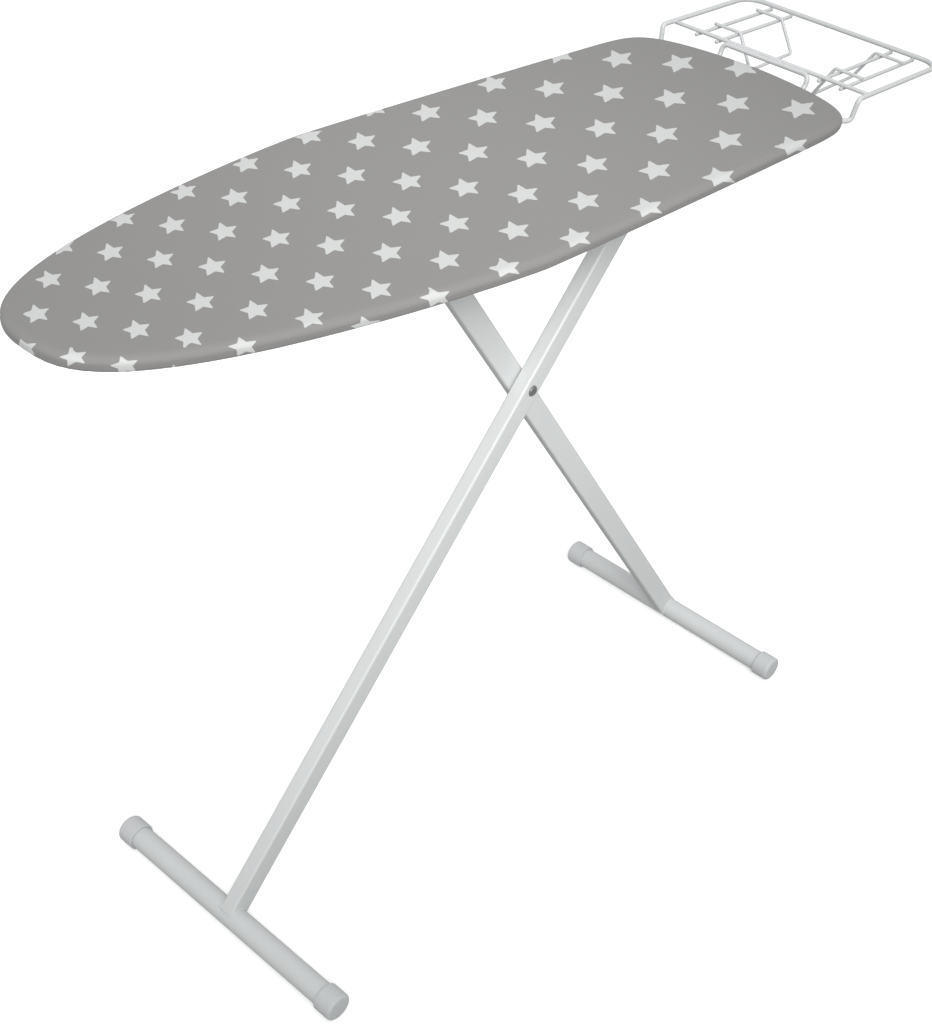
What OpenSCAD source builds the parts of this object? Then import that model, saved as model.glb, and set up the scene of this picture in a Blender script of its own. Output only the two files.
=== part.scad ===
// Ironing board on folding X legs, with a wire iron rest at its heel.
// +X runs from the nose to the iron rest, +Y is the left side, +Z is up.
// The origin is on the floor, under the middle of the object's box.

/* [Board] */
// Length of the covered board, nose to heel
board_len = 1060; // [1040:5:1080]
// Greatest width of the covered board
board_w = 351; // [345:1:357]
// Narrowing of the heel, each side
heel_taper = 14; // [6:1:18]
// Height of the ironing surface, legs at their highest setting
surface_z = 900; // [890:1:910]
// Thickness of the cover cloth
cover_t = 1; // [0.8:0.1:1.2]
// Thickness of the felt
felt_t = 4; // [3:0.5:4]
// Thickness of the sheet-steel top
deck_t = 0.7; // [0.6:0.1:1]
// Height of the rolled rim channel
rim_h = 8.4; // [8:0.2:9.6]
// How far the hem is turned in under the rim
hem_w = 28; // [24:1:30]

/* [Legs] */
// Length of each leg, upper pivot to foot axis
leg_len = 1078; // [1060:1:1090]
// Upper pivot to crossing
leg_top = 347; // [340:1:352]
// Leg tube, the wide way
tube_w = 30; // [28:1:30]
// Leg A's tube, the narrow way
tube_ta = 20; // [18:0.5:20]
// Leg B's tube, the narrow way
tube_tb = 15; // [14:0.5:15]
// Tube wall
wall = 1.2; // [1:0.1:1.5]
// Distance of the leg pivots below the ironing surface
pivot_drop = 32; // [31:0.5:34]
// Where leg A hangs from the board, along X
pivot_x = 265.5; // [255:0.5:275]
// How far leg A swings to fold flat, in degrees
fold_deg = 49; // [40:1:49]

/* [Feet] */
// Diameter of the foot tubes
foot_d = 30; // [28:1:30]
// Diameter of the end caps
cap_d = 36; // [34:1:38]
// Length of a foot over its caps
foot_len = 389; // [370:1:396]
// How far each foot is set off to its own leg's side
foot_off = 4; // [0:0.5:5]
// Length of an end cap
cap_len = 26; // [22:1:30]
// Depth of the flat land under a cap
land = 0.5; // [0.3:0.1:0.8]

/* [Rails] */
// Distance of a rail's inner face from the middle
rail_y = 40; // [38:1:42]
// Sheet thickness of the rails
rail_t = 1.2; // [1:0.1:1.8]
// Pin and slide rod diameter
pin_d = 10; // [10:0.5:11]

/* [Iron rest] */
// How far the rest reaches past the heel
rest_reach = 188; // [180:1:200]
// Width of the rest between wire centres
rest_w = 290; // [280:2:300]
// Height of the frame wire above the ironing surface
rest_up = 7; // [4:1:8]
// Frame wire diameter
wire_d = 6; // [5.5:0.5:6]
// Ladder wire diameter
thin_d = 4.5; // [4:0.5:4.5]

/* [Hidden] */
$fn = 48;

PAINT = [0.84, 0.86, 0.87];
STEEL = [0.62, 0.64, 0.66];
GREY = [0.63, 0.63, 0.61];
FELT = [0.90, 0.89, 0.85];
NYLON = [0.90, 0.90, 0.88];

gap = 0.1;                         // face to face, pieces of one body
total = board_len + rest_reach;
x_nose = -total / 2;
x_heel = x_nose + board_len;
x_end = total / 2;

// heights, from the cloth down
z_felt = surface_z - cover_t - gap - felt_t;
z_deck = z_felt - gap - deck_t;    // underside of the sheet top
z_rim = z_deck - gap - rim_h;      // underside of the rim channel
z_hem = z_rim - gap - cover_t;     // underside of the turned-in hem
z_piv = surface_z - pivot_drop;
z_foot = cap_d / 2 - land;

// the X of the legs: equal upper arms keep the slide rod at one height
theta = asin((z_piv - z_foot) / leg_len);
P_A = [pivot_x, 0, z_piv];
P_B = [pivot_x - 2 * leg_top * cos(theta), 0, z_piv];
P_C = [pivot_x - leg_top * cos(theta), 0, z_piv - leg_top * sin(theta)];
F_A = [pivot_x - leg_len * cos(theta), 0, z_foot];
F_B = [P_B[0] + leg_len * cos(theta), 0, z_foot];
x_folded = pivot_x - 2 * leg_top * cos(theta - fold_deg);
// the legs lie side by side: A on the right, B on the left
y_a0 = -17;
y_a1 = y_a0 + tube_ta;
y_b0 = y_a1 + 1.5;
y_b1 = y_b0 + tube_tb;

// ---- plan outline: a long rounded nose and a squarer heel ----
nose_len = 470;
W = board_w / 2;
function nose_pt(t) = [nose_len * (1 - pow(cos(t), 2 / 1.23)), W * pow(sin(t), 2 / 2.75)];
function heel_pt(b) = [nose_len + (board_len - nose_len) * b,
                       (W - heel_taper * pow(b, 1.5)) * pow(1 - pow(b, 30), 1 / 1.5)];
NS = 16;
heel_b = [0.12, 0.24, 0.36, 0.48, 0.6, 0.7, 0.78, 0.84, 0.88, 0.91, 0.935,
          0.955, 0.97, 0.982, 0.991, 0.9965, 0.9995];
side = concat([for (k = [1:NS]) nose_pt(90 * pow(k / NS, 1.4))],
              [for (b = heel_b) heel_pt(b)]);
plan = concat([[0, 0]], [for (p = side) [p[0], -p[1]]], [[board_len, 0]],
              [for (i = [len(side) - 1:-1:0]) side[i]]);
function nrm(i) = let (n = len(plan), a = plan[(i + n - 1) % n], b = plan[(i + 1) % n],
                       d = b - a) [d[1], -d[0]] / norm(d);
// outline moved outwards by d, in the part's own X
function outline(d) = [for (i = [0:len(plan) - 1]) plan[i] + d * nrm(i) + [x_nose, 0]];
function half_at(s) = s < nose_len
    ? W * pow(1 - pow((nose_len - s) / nose_len, 1.23), 1 / 2.75)
    : heel_pt((s - nose_len) / (board_len - nose_len))[1];

module plate(d, z0, z1) translate([0, 0, z0]) linear_extrude(z1 - z0) polygon(outline(d));
module ring(d_out, d_in, z0, z1) translate([0, 0, z0]) linear_extrude(z1 - z0)
    difference() { polygon(outline(d_out)); polygon(outline(d_in)); }

// ---- bent wires ----
function unit(v) = v / norm(v);
// a path with its corners turned into arcs of radius r
function arc_at(a, b, c, r, m) =
    let (u = unit(a - b), v = unit(c - b), h = acos(u * v) / 2, d = r / tan(h),
         o = b + unit(u + v) * r / sin(h), s = b + u * d - o, e = b + v * d - o, w = 180 - 2 * h)
    [for (k = [0:m]) o + (s * sin((1 - k / m) * w) + e * sin(k / m * w)) / sin(w)];
function bent(p, r, m = 4) = concat([p[0]],
    [for (i = [1:len(p) - 2]) each arc_at(p[i - 1], p[i], p[i + 1], r, m)],
    [p[len(p) - 1]]);
function tang(p, i) = unit(p[min(i + 1, len(p) - 1)] - p[max(i - 1, 0)]);
function carry(p, i, u) = i == len(p) ? []
    : let (t = tang(p, i), w = unit(u - (u * t) * t)) concat([w], carry(p, i + 1, w));
module bar(p, d, n = 10, up = [0.02, 0.03, 1]) {
    us = carry(p, 0, up);
    m = len(p);
    pts = [for (i = [0:m - 1]) let (t = tang(p, i), v = cross(t, us[i]))
           for (k = [0:n - 1]) p[i] + d / 2 * (cos(360 * k / n) * us[i] + sin(360 * k / n) * v)];
    polyhedron(pts, concat(
        [[for (k = [0:n - 1]) k]],
        [[for (k = [n - 1:-1:0]) (m - 1) * n + k]],
        [for (i = [0:m - 2]) for (k = [0:n - 1]) let (a = i * n + k, b = i * n + (k + 1) % n)
            each [[a, a + n, b], [b, a + n, b + n]]]));
}
module ycyl(p, r, y0, y1) translate([p[0], y0, p[2]]) rotate([-90, 0, 0]) cylinder(r = r, h = y1 - y0);
module xcyl(p, r, x0, x1) translate([x0, p[1], p[2]]) rotate([0, 90, 0]) cylinder(r = r, h = x1 - x0);

// ================= board =================
module cover() color(GREY) union() {
    plate(0, surface_z - cover_t, surface_z);
    ring(0, -cover_t, z_hem, surface_z - cover_t);
    ring(-cover_t, -hem_w, z_hem, z_hem + cover_t);
}
module hem_elastic() color(GREY) ring(-hem_w - 0.2, -hem_w - 3.2, z_hem - 0.8, z_hem + 1.2);
module felt_pad() color(FELT) plate(-cover_t - 0.3, z_felt, z_felt + felt_t);

// sheet steel top with six-sided steam vents, clear of the rails and braces
vent_y = [0, 22, 74, 98, 122];
module vents() for (j = [0:len(vent_y) - 1]) for (sy = j == 0 ? [1] : [-1, 1])
    for (i = [0:23]) let (s = 64 + 42 * i + (j % 2) * 21, x = x_nose + s, y = vent_y[j])
        if (half_at(s) > y + 22 && abs(x + 521) > 27 && abs(x - 365) > 27 && abs(x + 105) > 2 && s < board_len - 30)
            translate([x, sy * y]) circle(d = 9, $fn = 6);
module deck_panel() color(STEEL) translate([0, 0, z_deck]) linear_extrude(deck_t)
    difference() { polygon(outline(-cover_t - 0.3)); vents(); }
module deck_rim() color(STEEL) union() {
    ring(-cover_t - 0.3, -cover_t - 1.3, z_rim, z_deck - gap);
    ring(-cover_t - 1.3, -cover_t - 9, z_deck - gap - 1, z_deck - gap);
    ring(-cover_t - 1.3, -cover_t - 9, z_rim, z_rim + 1);
}

// hat-section cross braces
module hat(xc, half, z0) {
    t = 1.2; h = z_deck - gap - z0;
    translate([xc, half, z0]) rotate([90, 0, 0]) linear_extrude(2 * half)
        polygon([[-24, h], [-24, h - t], [-14 - t, h - t], [-14 - t, 0], [14 + t, 0], [14 + t, h - t],
                 [24, h - t], [24, h], [14, h], [14, t], [-14, t], [-14, h]]);
}
x_front = -521;
x_rear = 365;
saddle_y = [114, 62];
function ears(y) = [y - 8.6, y + 8.6];
z_wire = z_hem - wire_d / 2 - 1.5;
module front_brace() color(STEEL) hat(x_front, 70, z_rim + 0.6);
module rear_brace() color(STEEL) difference() {
    hat(x_rear, 125, z_rim + 0.6);
    for (y = saddle_y) for (e = ears(y)) for (s = [-1, 1])
        translate([x_rear, s * e, z_rim - 1]) cylinder(r = 2.1, h = 4);
}

rail_x0 = -480;
rail_x1 = 300;
rail_h = 35;
z_rail = z_deck - gap - rail_h;
slot_r = 6.5;
rivet_x = [-440, -330, -200, -60, 90, 200, 280];
module rail(s) difference() {
    union() {
        translate([rail_x0, s > 0 ? rail_y : -rail_y - rail_t, z_rail]) cube([rail_x1 - rail_x0, rail_t, rail_h]);
        translate([rail_x0, s > 0 ? rail_y : -rail_y - 15, z_rail + rail_h - rail_t]) cube([rail_x1 - rail_x0, 15, rail_t]);
        if (s > 0) translate([-111, 31, z_rail + 24]) cube([12, 10, 1.5]);
    }
    // slot for the slide rod
    ycyl([P_B[0] + 0.5, 0, z_piv], slot_r, s > 0 ? rail_y - 1 : -rail_y - 3, s > 0 ? rail_y + 3 : -rail_y + 1);
    ycyl([x_folded - 0.5, 0, z_piv], slot_r, s > 0 ? rail_y - 1 : -rail_y - 3, s > 0 ? rail_y + 3 : -rail_y + 1);
    translate([x_folded - 0.5, s > 0 ? rail_y - 1 : -rail_y - 3, z_piv - slot_r]) cube([P_B[0] - x_folded + 1, 4, 2 * slot_r]);
    // bore for leg A's pin
    ycyl(P_A, pin_d / 2 + 0.06, s > 0 ? rail_y - 1 : -rail_y - 3, s > 0 ? rail_y + 3 : -rail_y + 1);
    // rivet holes through the flange
    for (x = rivet_x) translate([x, s * (rail_y + 9), z_rail + rail_h - 3]) cylinder(r = 2.05, h = 5);
    // hook hole of the spring tab
    if (s > 0) translate([-105, 34.5, z_rail + 20]) cylinder(r = 1.5, h = 10);
}
module rail_left() color(STEEL) rail(1);
module rail_right() color(STEEL) rail(-1);
module rail_spreader_mid() color(STEEL) ycyl([60, 0, z_piv + 17.5], 4, -rail_y + gap, rail_y - gap);
module rail_spreader_front() color(STEEL) ycyl([-468, 0, z_piv + 8], 5, -rail_y + gap, rail_y - gap);
// button rivets: shank in the flange, head below it
module rail_rivets() color(PAINT) for (s = [-1, 1]) for (x = rivet_x)
    translate([x, s * (rail_y + 9), z_deck - gap]) {
        translate([0, 0, -rail_t]) cylinder(r = 2, h = rail_t);
        translate([0, 0, -rail_t - gap]) mirror([0, 0, 1]) rotate_extrude()
            polygon([[0, 0], [4, 0], [3.8, 0.8], [3, 1.6], [1.6, 2.1], [0, 2.2]]);
        translate([0, 0, -rail_t - gap - 0.01]) cylinder(r = 2, h = 0.2);
    }

// ================= release lever, under the left edge =================
lever_p = [0, 62, z_rail - 2];     // its axis runs along X
module lever_bracket(x, s) difference() {
    union() {
        translate([x - 0.75, rail_y + rail_t + gap, lever_p[2] - 8]) cube([1.5, 27, 34]);
        translate([x + (s > 0 ? 0 : -12), rail_y + rail_t + gap, lever_p[2] + 6]) cube([12, 1.5, 20]);
    }
    xcyl([x, lever_p[1], lever_p[2]], 3.04, x - 3, x + 3);
}
module lever_bracket_front() color(STEEL) lever_bracket(-141, 1);
module lever_bracket_rear() color(STEEL) lever_bracket(-69, 1);
module lever_pivot_rod() color(STEEL) union() {
    xcyl(lever_p, 3, -144, -66);
    xcyl(lever_p, 4.5, -145.5, -144);
    xcyl(lever_p, 4.5, -66, -64.5);
}
z_plate = lever_p[2] - 8;
// rocker plate with a sleeve on the axis and a notched latch bar that lies
// beside the slide rod's way
notch_n = 6;
module lever_plate() color(STEEL) union() {
    difference() {
        translate([-136, 27, z_plate]) cube([62, 93, 2]);
        translate([-105, 34.5, z_plate - 1]) cylinder(r = 2.8, h = 4);
        for (y = [84, 102]) translate([-105, y, z_plate - 1]) cylinder(r = 5, h = 4);
    }
    difference() {
        union() {
            xcyl(lever_p, 5, -138.5, -71.5);
            translate([-136, 57.5, z_plate + 1.5]) cube([62, 9, 5]);
        }
        xcyl(lever_p, 3.06, -140, -70);
    }
    difference() {
        translate([-345, 27, z_plate]) cube([271, 2, z_piv - pin_d / 2 - 0.5 - z_plate]);
        for (k = [0:notch_n - 1]) ycyl([P_B[0] - 32 * k, 0, z_piv - pin_d / 2 - 1.6], 6.4, 25, 31);
    }
}
module lever_grip() color(NYLON) translate([-105, 120.1, z_plate + 1]) rotate([-90, 0, 0]) linear_extrude(27)
    polygon([for (a = [0:10:350]) [40 * sign(cos(a)) * pow(abs(cos(a)), 0.4), 6.5 * sign(sin(a)) * pow(abs(sin(a)), 0.7)]]);
// extension spring between the rail's tab and the plate
coil_r = 3.4;
sz0 = z_plate + 4;
sz1 = z_rail + 20.5;
turns = 8;
module lever_spring() color(STEEL) translate([-105, 34.5, 0]) bar(concat(
    [[0, 0, z_plate - 2.5], [0, 0, z_plate + 1], [0, 0, z_plate + 2.4], [coil_r * 0.6, 0, z_plate + 3.4]],
    [for (k = [0:turns * 10]) [coil_r * cos(36 * k), coil_r * sin(36 * k), sz0 + (sz1 - sz0) * k / (turns * 10)]],
    [[coil_r * 0.6, 0, sz1 + 0.8], [0, 0, sz1 + 1.8], [0, 0, sz1 + 3.4], [0, 0, z_rail + 28]]),
    1.1, 6, [0.3, 1, 0.1]);

// ================= iron rest =================
z_rest = surface_z + rest_up;
ry = rest_w / 2;
x_low = x_heel - 5;                // where the frame turns down
x_top = x_heel - 2;
x_cross = x_heel + 21;
x_supp = x_cross - 5.25;
z_supp = z_rest - 2.5;             // the support wire lies a little lower
// left half by arcs, right half mirrored, with wider outer corners
f0 = [x_rear - 22, saddle_y[0], z_wire];
f1 = [x_rear + 20, saddle_y[0], z_wire];
f2 = [x_low, ry - 3, z_wire];
f3 = [x_top, ry, z_rest];
f4 = [x_end - wire_d / 2, ry, z_rest];
frame_half = concat([f0], arc_at(f0, f1, f2, 9, 4), arc_at(f1, f2, f3, 6, 4), arc_at(f2, f3, f4, 6, 4),
    arc_at(f3, f4, [x_end - wire_d / 2, 0, z_rest], 26, 7));
module rest_outer_frame() color(PAINT) bar(concat(frame_half,
    [for (i = [len(frame_half) - 1:-1:0]) [frame_half[i][0], -frame_half[i][1], frame_half[i][2]]]), wire_d);
module rest_cross_wire() color(PAINT) ycyl([x_cross, 0, z_rest - 0.5], 2.5, -ry + wire_d / 2 + 0.05, ry - wire_d / 2 - 0.05);
supp_half = bent([[x_rear - 22, saddle_y[1], z_wire], [x_cross - 19, saddle_y[1], z_wire],
                  [x_supp - 3.5, saddle_y[1] + 1, z_wire + 13], [x_supp, saddle_y[1] + 1, z_supp], [x_supp, 0, z_supp]], 7, 4);
module rest_support_wire() color(PAINT) bar(concat([for (i = [0:len(supp_half) - 2]) supp_half[i]],
    [for (i = [len(supp_half) - 2:-1:0]) [supp_half[i][0], -supp_half[i][1], supp_half[i][2]]]), wire_d);

// ladders: long wires welded below the cross wire and the end wire
z_lad = z_rest - wire_d / 2 - thin_d / 2 - gap;
module ladder_wire(y) color(PAINT) bar([[x_cross - 3.5, y, z_lad], [x_cross + 4, y, z_lad],
    [x_end - 10, y, z_lad], [x_end - wire_d / 2, y, z_lad]], thin_d, 12, [0.02, 1, 0.03]);
module ladder_wire_left_outer() ladder_wire(107);
module ladder_wire_left_inner() ladder_wire(76);
module ladder_wire_right_inner() ladder_wire(-76);
module ladder_wire_right_outer() ladder_wire(-107);
// one bent wire per ladder: both rungs and the low loop between them
z_rung = z_lad + thin_d / 2 + 2 + 0.1;
x_r1 = x_heel + 62;
x_r2 = x_heel + 154;
loop_path = bent([[x_r1, 110.5, z_rung], [x_r1, 71, z_rung], [x_r1, 47, surface_z - 35],
                  [x_r2, 47, surface_z - 32], [x_r2, 71, z_rung], [x_r2, 110.5, z_rung]], 4, 4);
module rest_loop(s) color(PAINT) bar([for (p = loop_path) [p[0], s * p[1], p[2]]], 4, 8, [0.3, 0.05, 1]);
module rest_loop_left() rest_loop(1);
module rest_loop_right() rest_loop(-1);

// straps that hold the four wire ends to the rear brace, and their screws
z_brace = z_rim + 0.6;
module saddle(y) translate([x_rear - 6, y, 0]) difference() {
    union() {
        translate([0, -13, z_brace - gap - 1.2]) cube([12, 26, 1.2]);
        translate([0, -4.3, z_wire]) cube([12, 8.6, z_brace - gap - z_wire]);
        translate([0, 0, z_wire]) rotate([0, 90, 0]) cylinder(r = 4.3, h = 12);
    }
    translate([-1, -3.1, z_wire]) cube([14, 6.2, 20]);
    translate([-1, 0, z_wire]) rotate([0, 90, 0]) cylinder(r = 3.1, h = 14);
    for (e = [-8.6, 8.6]) translate([6, e, z_wire - 10]) cylinder(r = 2.1, h = 30);
}
module rest_saddles() color(STEEL) for (s = [-1, 1]) for (y = saddle_y) saddle(s * y);
module rest_screws() color(STEEL) for (s = [-1, 1]) for (y = saddle_y) for (e = ears(y))
    translate([x_rear, s * e, z_brace - gap - 1.2]) {
        translate([0, 0, -gap - 0.01]) cylinder(r = 2, h = 5);
        translate([0, 0, -gap]) mirror([0, 0, 1]) rotate_extrude()
            polygon([[0, 0], [3.9, 0], [3.9, 0.7], [3.2, 1.7], [1.6, 2.2], [0, 2.3]]);
    }

// ================= legs =================
// A leg's own frame: its pivot at 0, its foot at +X
module leg_tube(y0, t, bore) difference() {
    translate([-12, y0, -tube_w / 2]) cube([leg_len + 12, t, tube_w]);
    translate([-13, y0 + wall, -tube_w / 2 + wall]) cube([leg_len + 14, t - 2 * wall, tube_w - 2 * wall]);
    ycyl([0, 0, 0], pin_d / 2 + 0.02, y0 - 1, y0 + t + 1);
    ycyl([leg_top, 0, 0], bore, y0 - 1, y0 + t + 1);
    ycyl([leg_len, 0, 0], foot_d / 2 + 0.02, y0 - 1, y0 + t + 1);
}
module foot_tube(p, c) color(PAINT) difference() {
    ycyl(p, foot_d / 2, c - foot_len / 2 + 4.5, c + foot_len / 2 - 4.5);
    ycyl(p, foot_d / 2 - wall, c - foot_len / 2, c + foot_len / 2);
}
module foot_cap(p, c, s) color(PAINT) difference() {
    translate([p[0], c + s * (foot_len / 2 - cap_len), p[2]]) rotate([s > 0 ? -90 : 90, 0, 0]) rotate_extrude()
        polygon([[foot_d / 2 + 0.02, 0], [cap_d / 2 - 0.8, 0], [cap_d / 2, 0.8], [cap_d / 2, cap_len - 4],
                 [cap_d / 2 - 0.5, cap_len - 2], [cap_d / 2 - 1.6, cap_len - 0.6], [cap_d / 2 - 3, cap_len],
                 [0, cap_len], [0, cap_len - 4], [foot_d / 2 + 0.02, cap_len - 4]]);
    translate([p[0] - 50, s > 0 ? 0 : -400, -20]) cube([100, 400, 20]);
}
module leg_a_tube() color(PAINT) translate(P_A) rotate([0, 180 - theta, 0]) leg_tube(y_a0, tube_ta, 4.02);
module leg_b_tube() color(PAINT) translate(P_B) rotate([0, theta, 0]) leg_tube(y_b0, tube_tb, 4.06);
module leg_a_pin() color(STEEL) ycyl(P_A, pin_d / 2, -rail_y - 7, rail_y + 7);
module leg_a_pin_nuts() color(STEEL) for (s = [-1, 1]) difference() {
    ycyl(P_A, 9, s > 0 ? rail_y + rail_t + 0.35 : -rail_y - rail_t - 1.85, s > 0 ? rail_y + rail_t + 1.85 : -rail_y - rail_t - 0.35);
    ycyl(P_A, pin_d / 2 + 0.02, -rail_y - 10, rail_y + 10);
}
module spacer(p, y0, y1) color(NYLON) difference() {
    ycyl(p, 8, y0, y1);
    ycyl(p, pin_d / 2 + 0.05, y0 - 1, y1 + 1);
}
module leg_a_spacer_left() spacer(P_A, y_a1 + gap, rail_y - 0.35);
module leg_a_spacer_right() spacer(P_A, -rail_y + 0.35, y_a0 - gap);
module foot_a_tube() foot_tube(F_A, -foot_off);
module foot_a_cap_left() foot_cap(F_A, -foot_off, 1);
module foot_a_cap_right() foot_cap(F_A, -foot_off, -1);
module foot_b_tube() foot_tube(F_B, foot_off);
module foot_b_cap_left() foot_cap(F_B, foot_off, 1);
module foot_b_cap_right() foot_cap(F_B, foot_off, -1);
// rivet bolt at the crossing: head on leg A's side, nut beyond leg B
module cross_bolt() color(STEEL) union() {
    ycyl(P_C, 4, y_a0 - 0.2, y_b1 + 5.2);
    translate([P_C[0], y_a0 - 0.1, P_C[2]]) rotate([90, 0, 0]) rotate_extrude()
        polygon([[0, 0], [7, 0], [6.7, 1], [5.6, 2], [3.5, 2.7], [0, 3]]);
}
module cross_nut() color(STEEL) difference() {
    translate([P_C[0], y_b1 + 0.35, P_C[2]]) rotate([-90, 0, 0]) cylinder(r = 7.3, h = 4.4, $fn = 6);
    ycyl(P_C, 4.02, y_b1 - 1, y_b1 + 10);
}
module cross_washer() color(NYLON) difference() {
    ycyl(P_C, 11, y_a1 + 0.05, y_b0 - 0.35);
    ycyl(P_C, 4.06, y_a1 - 1, y_b0 + 1);
}
module slide_rod() color(STEEL) ycyl(P_B, pin_d / 2, -rail_y - 9, rail_y + 9);
module slide_shoe(s) color(NYLON) difference() {
    union() {
        ycyl(P_B, slot_r - 0.3, s > 0 ? rail_y - 3 : -rail_y - 3, s > 0 ? rail_y + 3 : -rail_y + 3);
        ycyl(P_B, 9, s > 0 ? rail_y + rail_t + 0.4 : -rail_y - 6, s > 0 ? rail_y + 6 : -rail_y - rail_t - 0.4);
    }
    ycyl(P_B, pin_d / 2 + 0.02, -60, 60);
}
module slide_shoe_left() slide_shoe(1);
module slide_shoe_right() slide_shoe(-1);
module slide_rod_clips() color(STEEL) for (s = [-1, 1]) difference() {
    ycyl(P_B, 7.5, s > 0 ? rail_y + 6.1 : -rail_y - 7.3, s > 0 ? rail_y + 7.3 : -rail_y - 6.1);
    ycyl(P_B, pin_d / 2 + 0.02, -60, 60);
}

cover();
hem_elastic();
felt_pad();
deck_panel();
deck_rim();
front_brace();
rear_brace();
rail_left();
rail_right();
rail_spreader_mid();
rail_spreader_front();
rail_rivets();
lever_bracket_front();
lever_bracket_rear();
lever_pivot_rod();
lever_spring();
rest_outer_frame();
rest_cross_wire();
rest_support_wire();
ladder_wire_left_outer();
ladder_wire_left_inner();
ladder_wire_right_inner();
ladder_wire_right_outer();
rest_loop_left();
rest_loop_right();
rest_saddles();
rest_screws();
leg_a_tube();
leg_a_pin();
leg_a_pin_nuts();
leg_a_spacer_left();
leg_a_spacer_right();
foot_a_tube();
foot_a_cap_left();
foot_a_cap_right();
cross_bolt();
cross_nut();
cross_washer();
leg_b_tube();
slide_rod();
slide_shoe_left();
slide_shoe_right();
slide_rod_clips();
foot_b_tube();
foot_b_cap_left();
foot_b_cap_right();
lever_plate();
lever_grip();
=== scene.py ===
import math

import bmesh
import bpy
import numpy as np
from mathutils import Matrix, Vector, noise
from mathutils.geometry import delaunay_2d_cdt


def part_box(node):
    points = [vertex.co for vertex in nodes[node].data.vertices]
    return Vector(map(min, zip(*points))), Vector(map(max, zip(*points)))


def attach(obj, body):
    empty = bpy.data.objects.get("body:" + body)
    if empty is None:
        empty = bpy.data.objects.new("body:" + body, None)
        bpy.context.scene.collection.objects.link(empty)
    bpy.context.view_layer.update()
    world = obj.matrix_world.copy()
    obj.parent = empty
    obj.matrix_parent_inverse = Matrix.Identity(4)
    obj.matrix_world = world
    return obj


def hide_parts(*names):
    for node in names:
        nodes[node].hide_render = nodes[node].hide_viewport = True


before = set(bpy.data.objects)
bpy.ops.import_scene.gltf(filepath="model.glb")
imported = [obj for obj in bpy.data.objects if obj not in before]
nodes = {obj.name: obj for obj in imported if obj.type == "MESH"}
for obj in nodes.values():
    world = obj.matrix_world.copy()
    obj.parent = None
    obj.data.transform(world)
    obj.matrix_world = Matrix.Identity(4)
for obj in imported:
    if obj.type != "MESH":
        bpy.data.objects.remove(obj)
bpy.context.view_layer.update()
scene = bpy.context.scene
MM = 0.001


# ------------------------------------------------------------------ sizes (mm)
# The same rules as the CAD part; some heights and widths are read from its own boxes below.
BOARD_LEN, REACH = 1060.0, 188.0
X_NOSE = -(BOARD_LEN + REACH) / 2
X_HEEL = X_NOSE + BOARD_LEN
X_END = -X_NOSE
NOSE_LEN, HEEL_TAPER = 470.0, 14.0
lo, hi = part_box("cover")
HALF_W = hi.y / MM
SURF = hi.z / MM
Z_HEM = lo.z / MM
Z_DECK_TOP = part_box("deck_panel")[1].z / MM
Z_FELT0, Z_FELT1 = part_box("felt_pad")[0].z / MM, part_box("felt_pad")[1].z / MM
lo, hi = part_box("leg_a_pin")
P_A = Vector(((lo.x + hi.x) / 2, 0, (lo.z + hi.z) / 2)) / MM
lo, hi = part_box("slide_rod")
P_B = Vector(((lo.x + hi.x) / 2, 0, (lo.z + hi.z) / 2)) / MM
lo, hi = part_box("cross_washer")
P_C = Vector(((lo.x + hi.x) / 2, 0, (lo.z + hi.z) / 2)) / MM
lo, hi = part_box("foot_a_tube")
F_A = Vector(((lo.x + hi.x) / 2, 0, (lo.z + hi.z) / 2)) / MM
lo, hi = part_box("foot_b_tube")
F_B = Vector(((lo.x + hi.x) / 2, 0, (lo.z + hi.z) / 2)) / MM
FOOT_R = (hi.z - lo.z) / 2 / MM
FOOT_HALF = (hi.y - lo.y) / 2 / MM
lo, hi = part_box("foot_b_cap_left")
CAP_LEN = (hi.y - lo.y) / MM
CAP_R = 18.0


# ------------------------------------------------------------------ mesh helpers
def add_mesh(name, verts, faces, smooth=True, sharp=None):
    me = bpy.data.meshes.new(name)
    me.from_pydata([tuple(v) for v in verts], [], faces)
    me.validate()
    me.update()
    ob = bpy.data.objects.new(name, me)
    scene.collection.objects.link(ob)
    if smooth:
        me.shade_smooth()
        if sharp is not None:
            me.set_sharp_from_angle(angle=math.radians(sharp))
    return ob


def join_parts(name, parts, smooth=True, sharp=None):
    verts, faces = [], []
    for v, f in parts:
        base = len(verts)
        verts += [tuple(p) for p in v]
        faces += [tuple(i + base for i in q) for q in f]
    return add_mesh(name, verts, faces, smooth, sharp)


def unit(v):
    n = np.linalg.norm(v)
    return v / n if n > 0 else v


def bent(pts, r, m=10):
    """A path with its corners turned into arcs of radius r, as a bender makes them."""
    p = [np.array(q, float) for q in pts]
    out = [p[0]]
    for i in range(1, len(p) - 1):
        a, b, c = p[i - 1], p[i], p[i + 1]
        rr = r[i - 1] if hasattr(r, "__len__") else r
        u, v = unit(a - b), unit(c - b)
        h = math.acos(max(-1, min(1, float(u @ v)))) / 2
        if h > math.pi / 2 - 1e-3:
            out.append(b)
            continue
        o = b + unit(u + v) * rr / math.sin(h)
        d = rr / math.tan(h)
        s, e = b + u * d - o, b + v * d - o
        w = math.pi - 2 * h
        for k in range(m + 1):
            out.append(o + (s * math.sin((1 - k / m) * w) + e * math.sin(k / m * w)) / math.sin(w))
    out.append(p[-1])
    return out


def densify(pts, step):
    out = [np.array(pts[0], float)]
    for a, b in zip(pts[:-1], pts[1:]):
        a, b = np.array(a, float), np.array(b, float)
        n = max(1, int(math.ceil(np.linalg.norm(b - a) / step)))
        out += [a + (b - a) * k / n for k in range(1, n + 1)]
    return out


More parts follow.
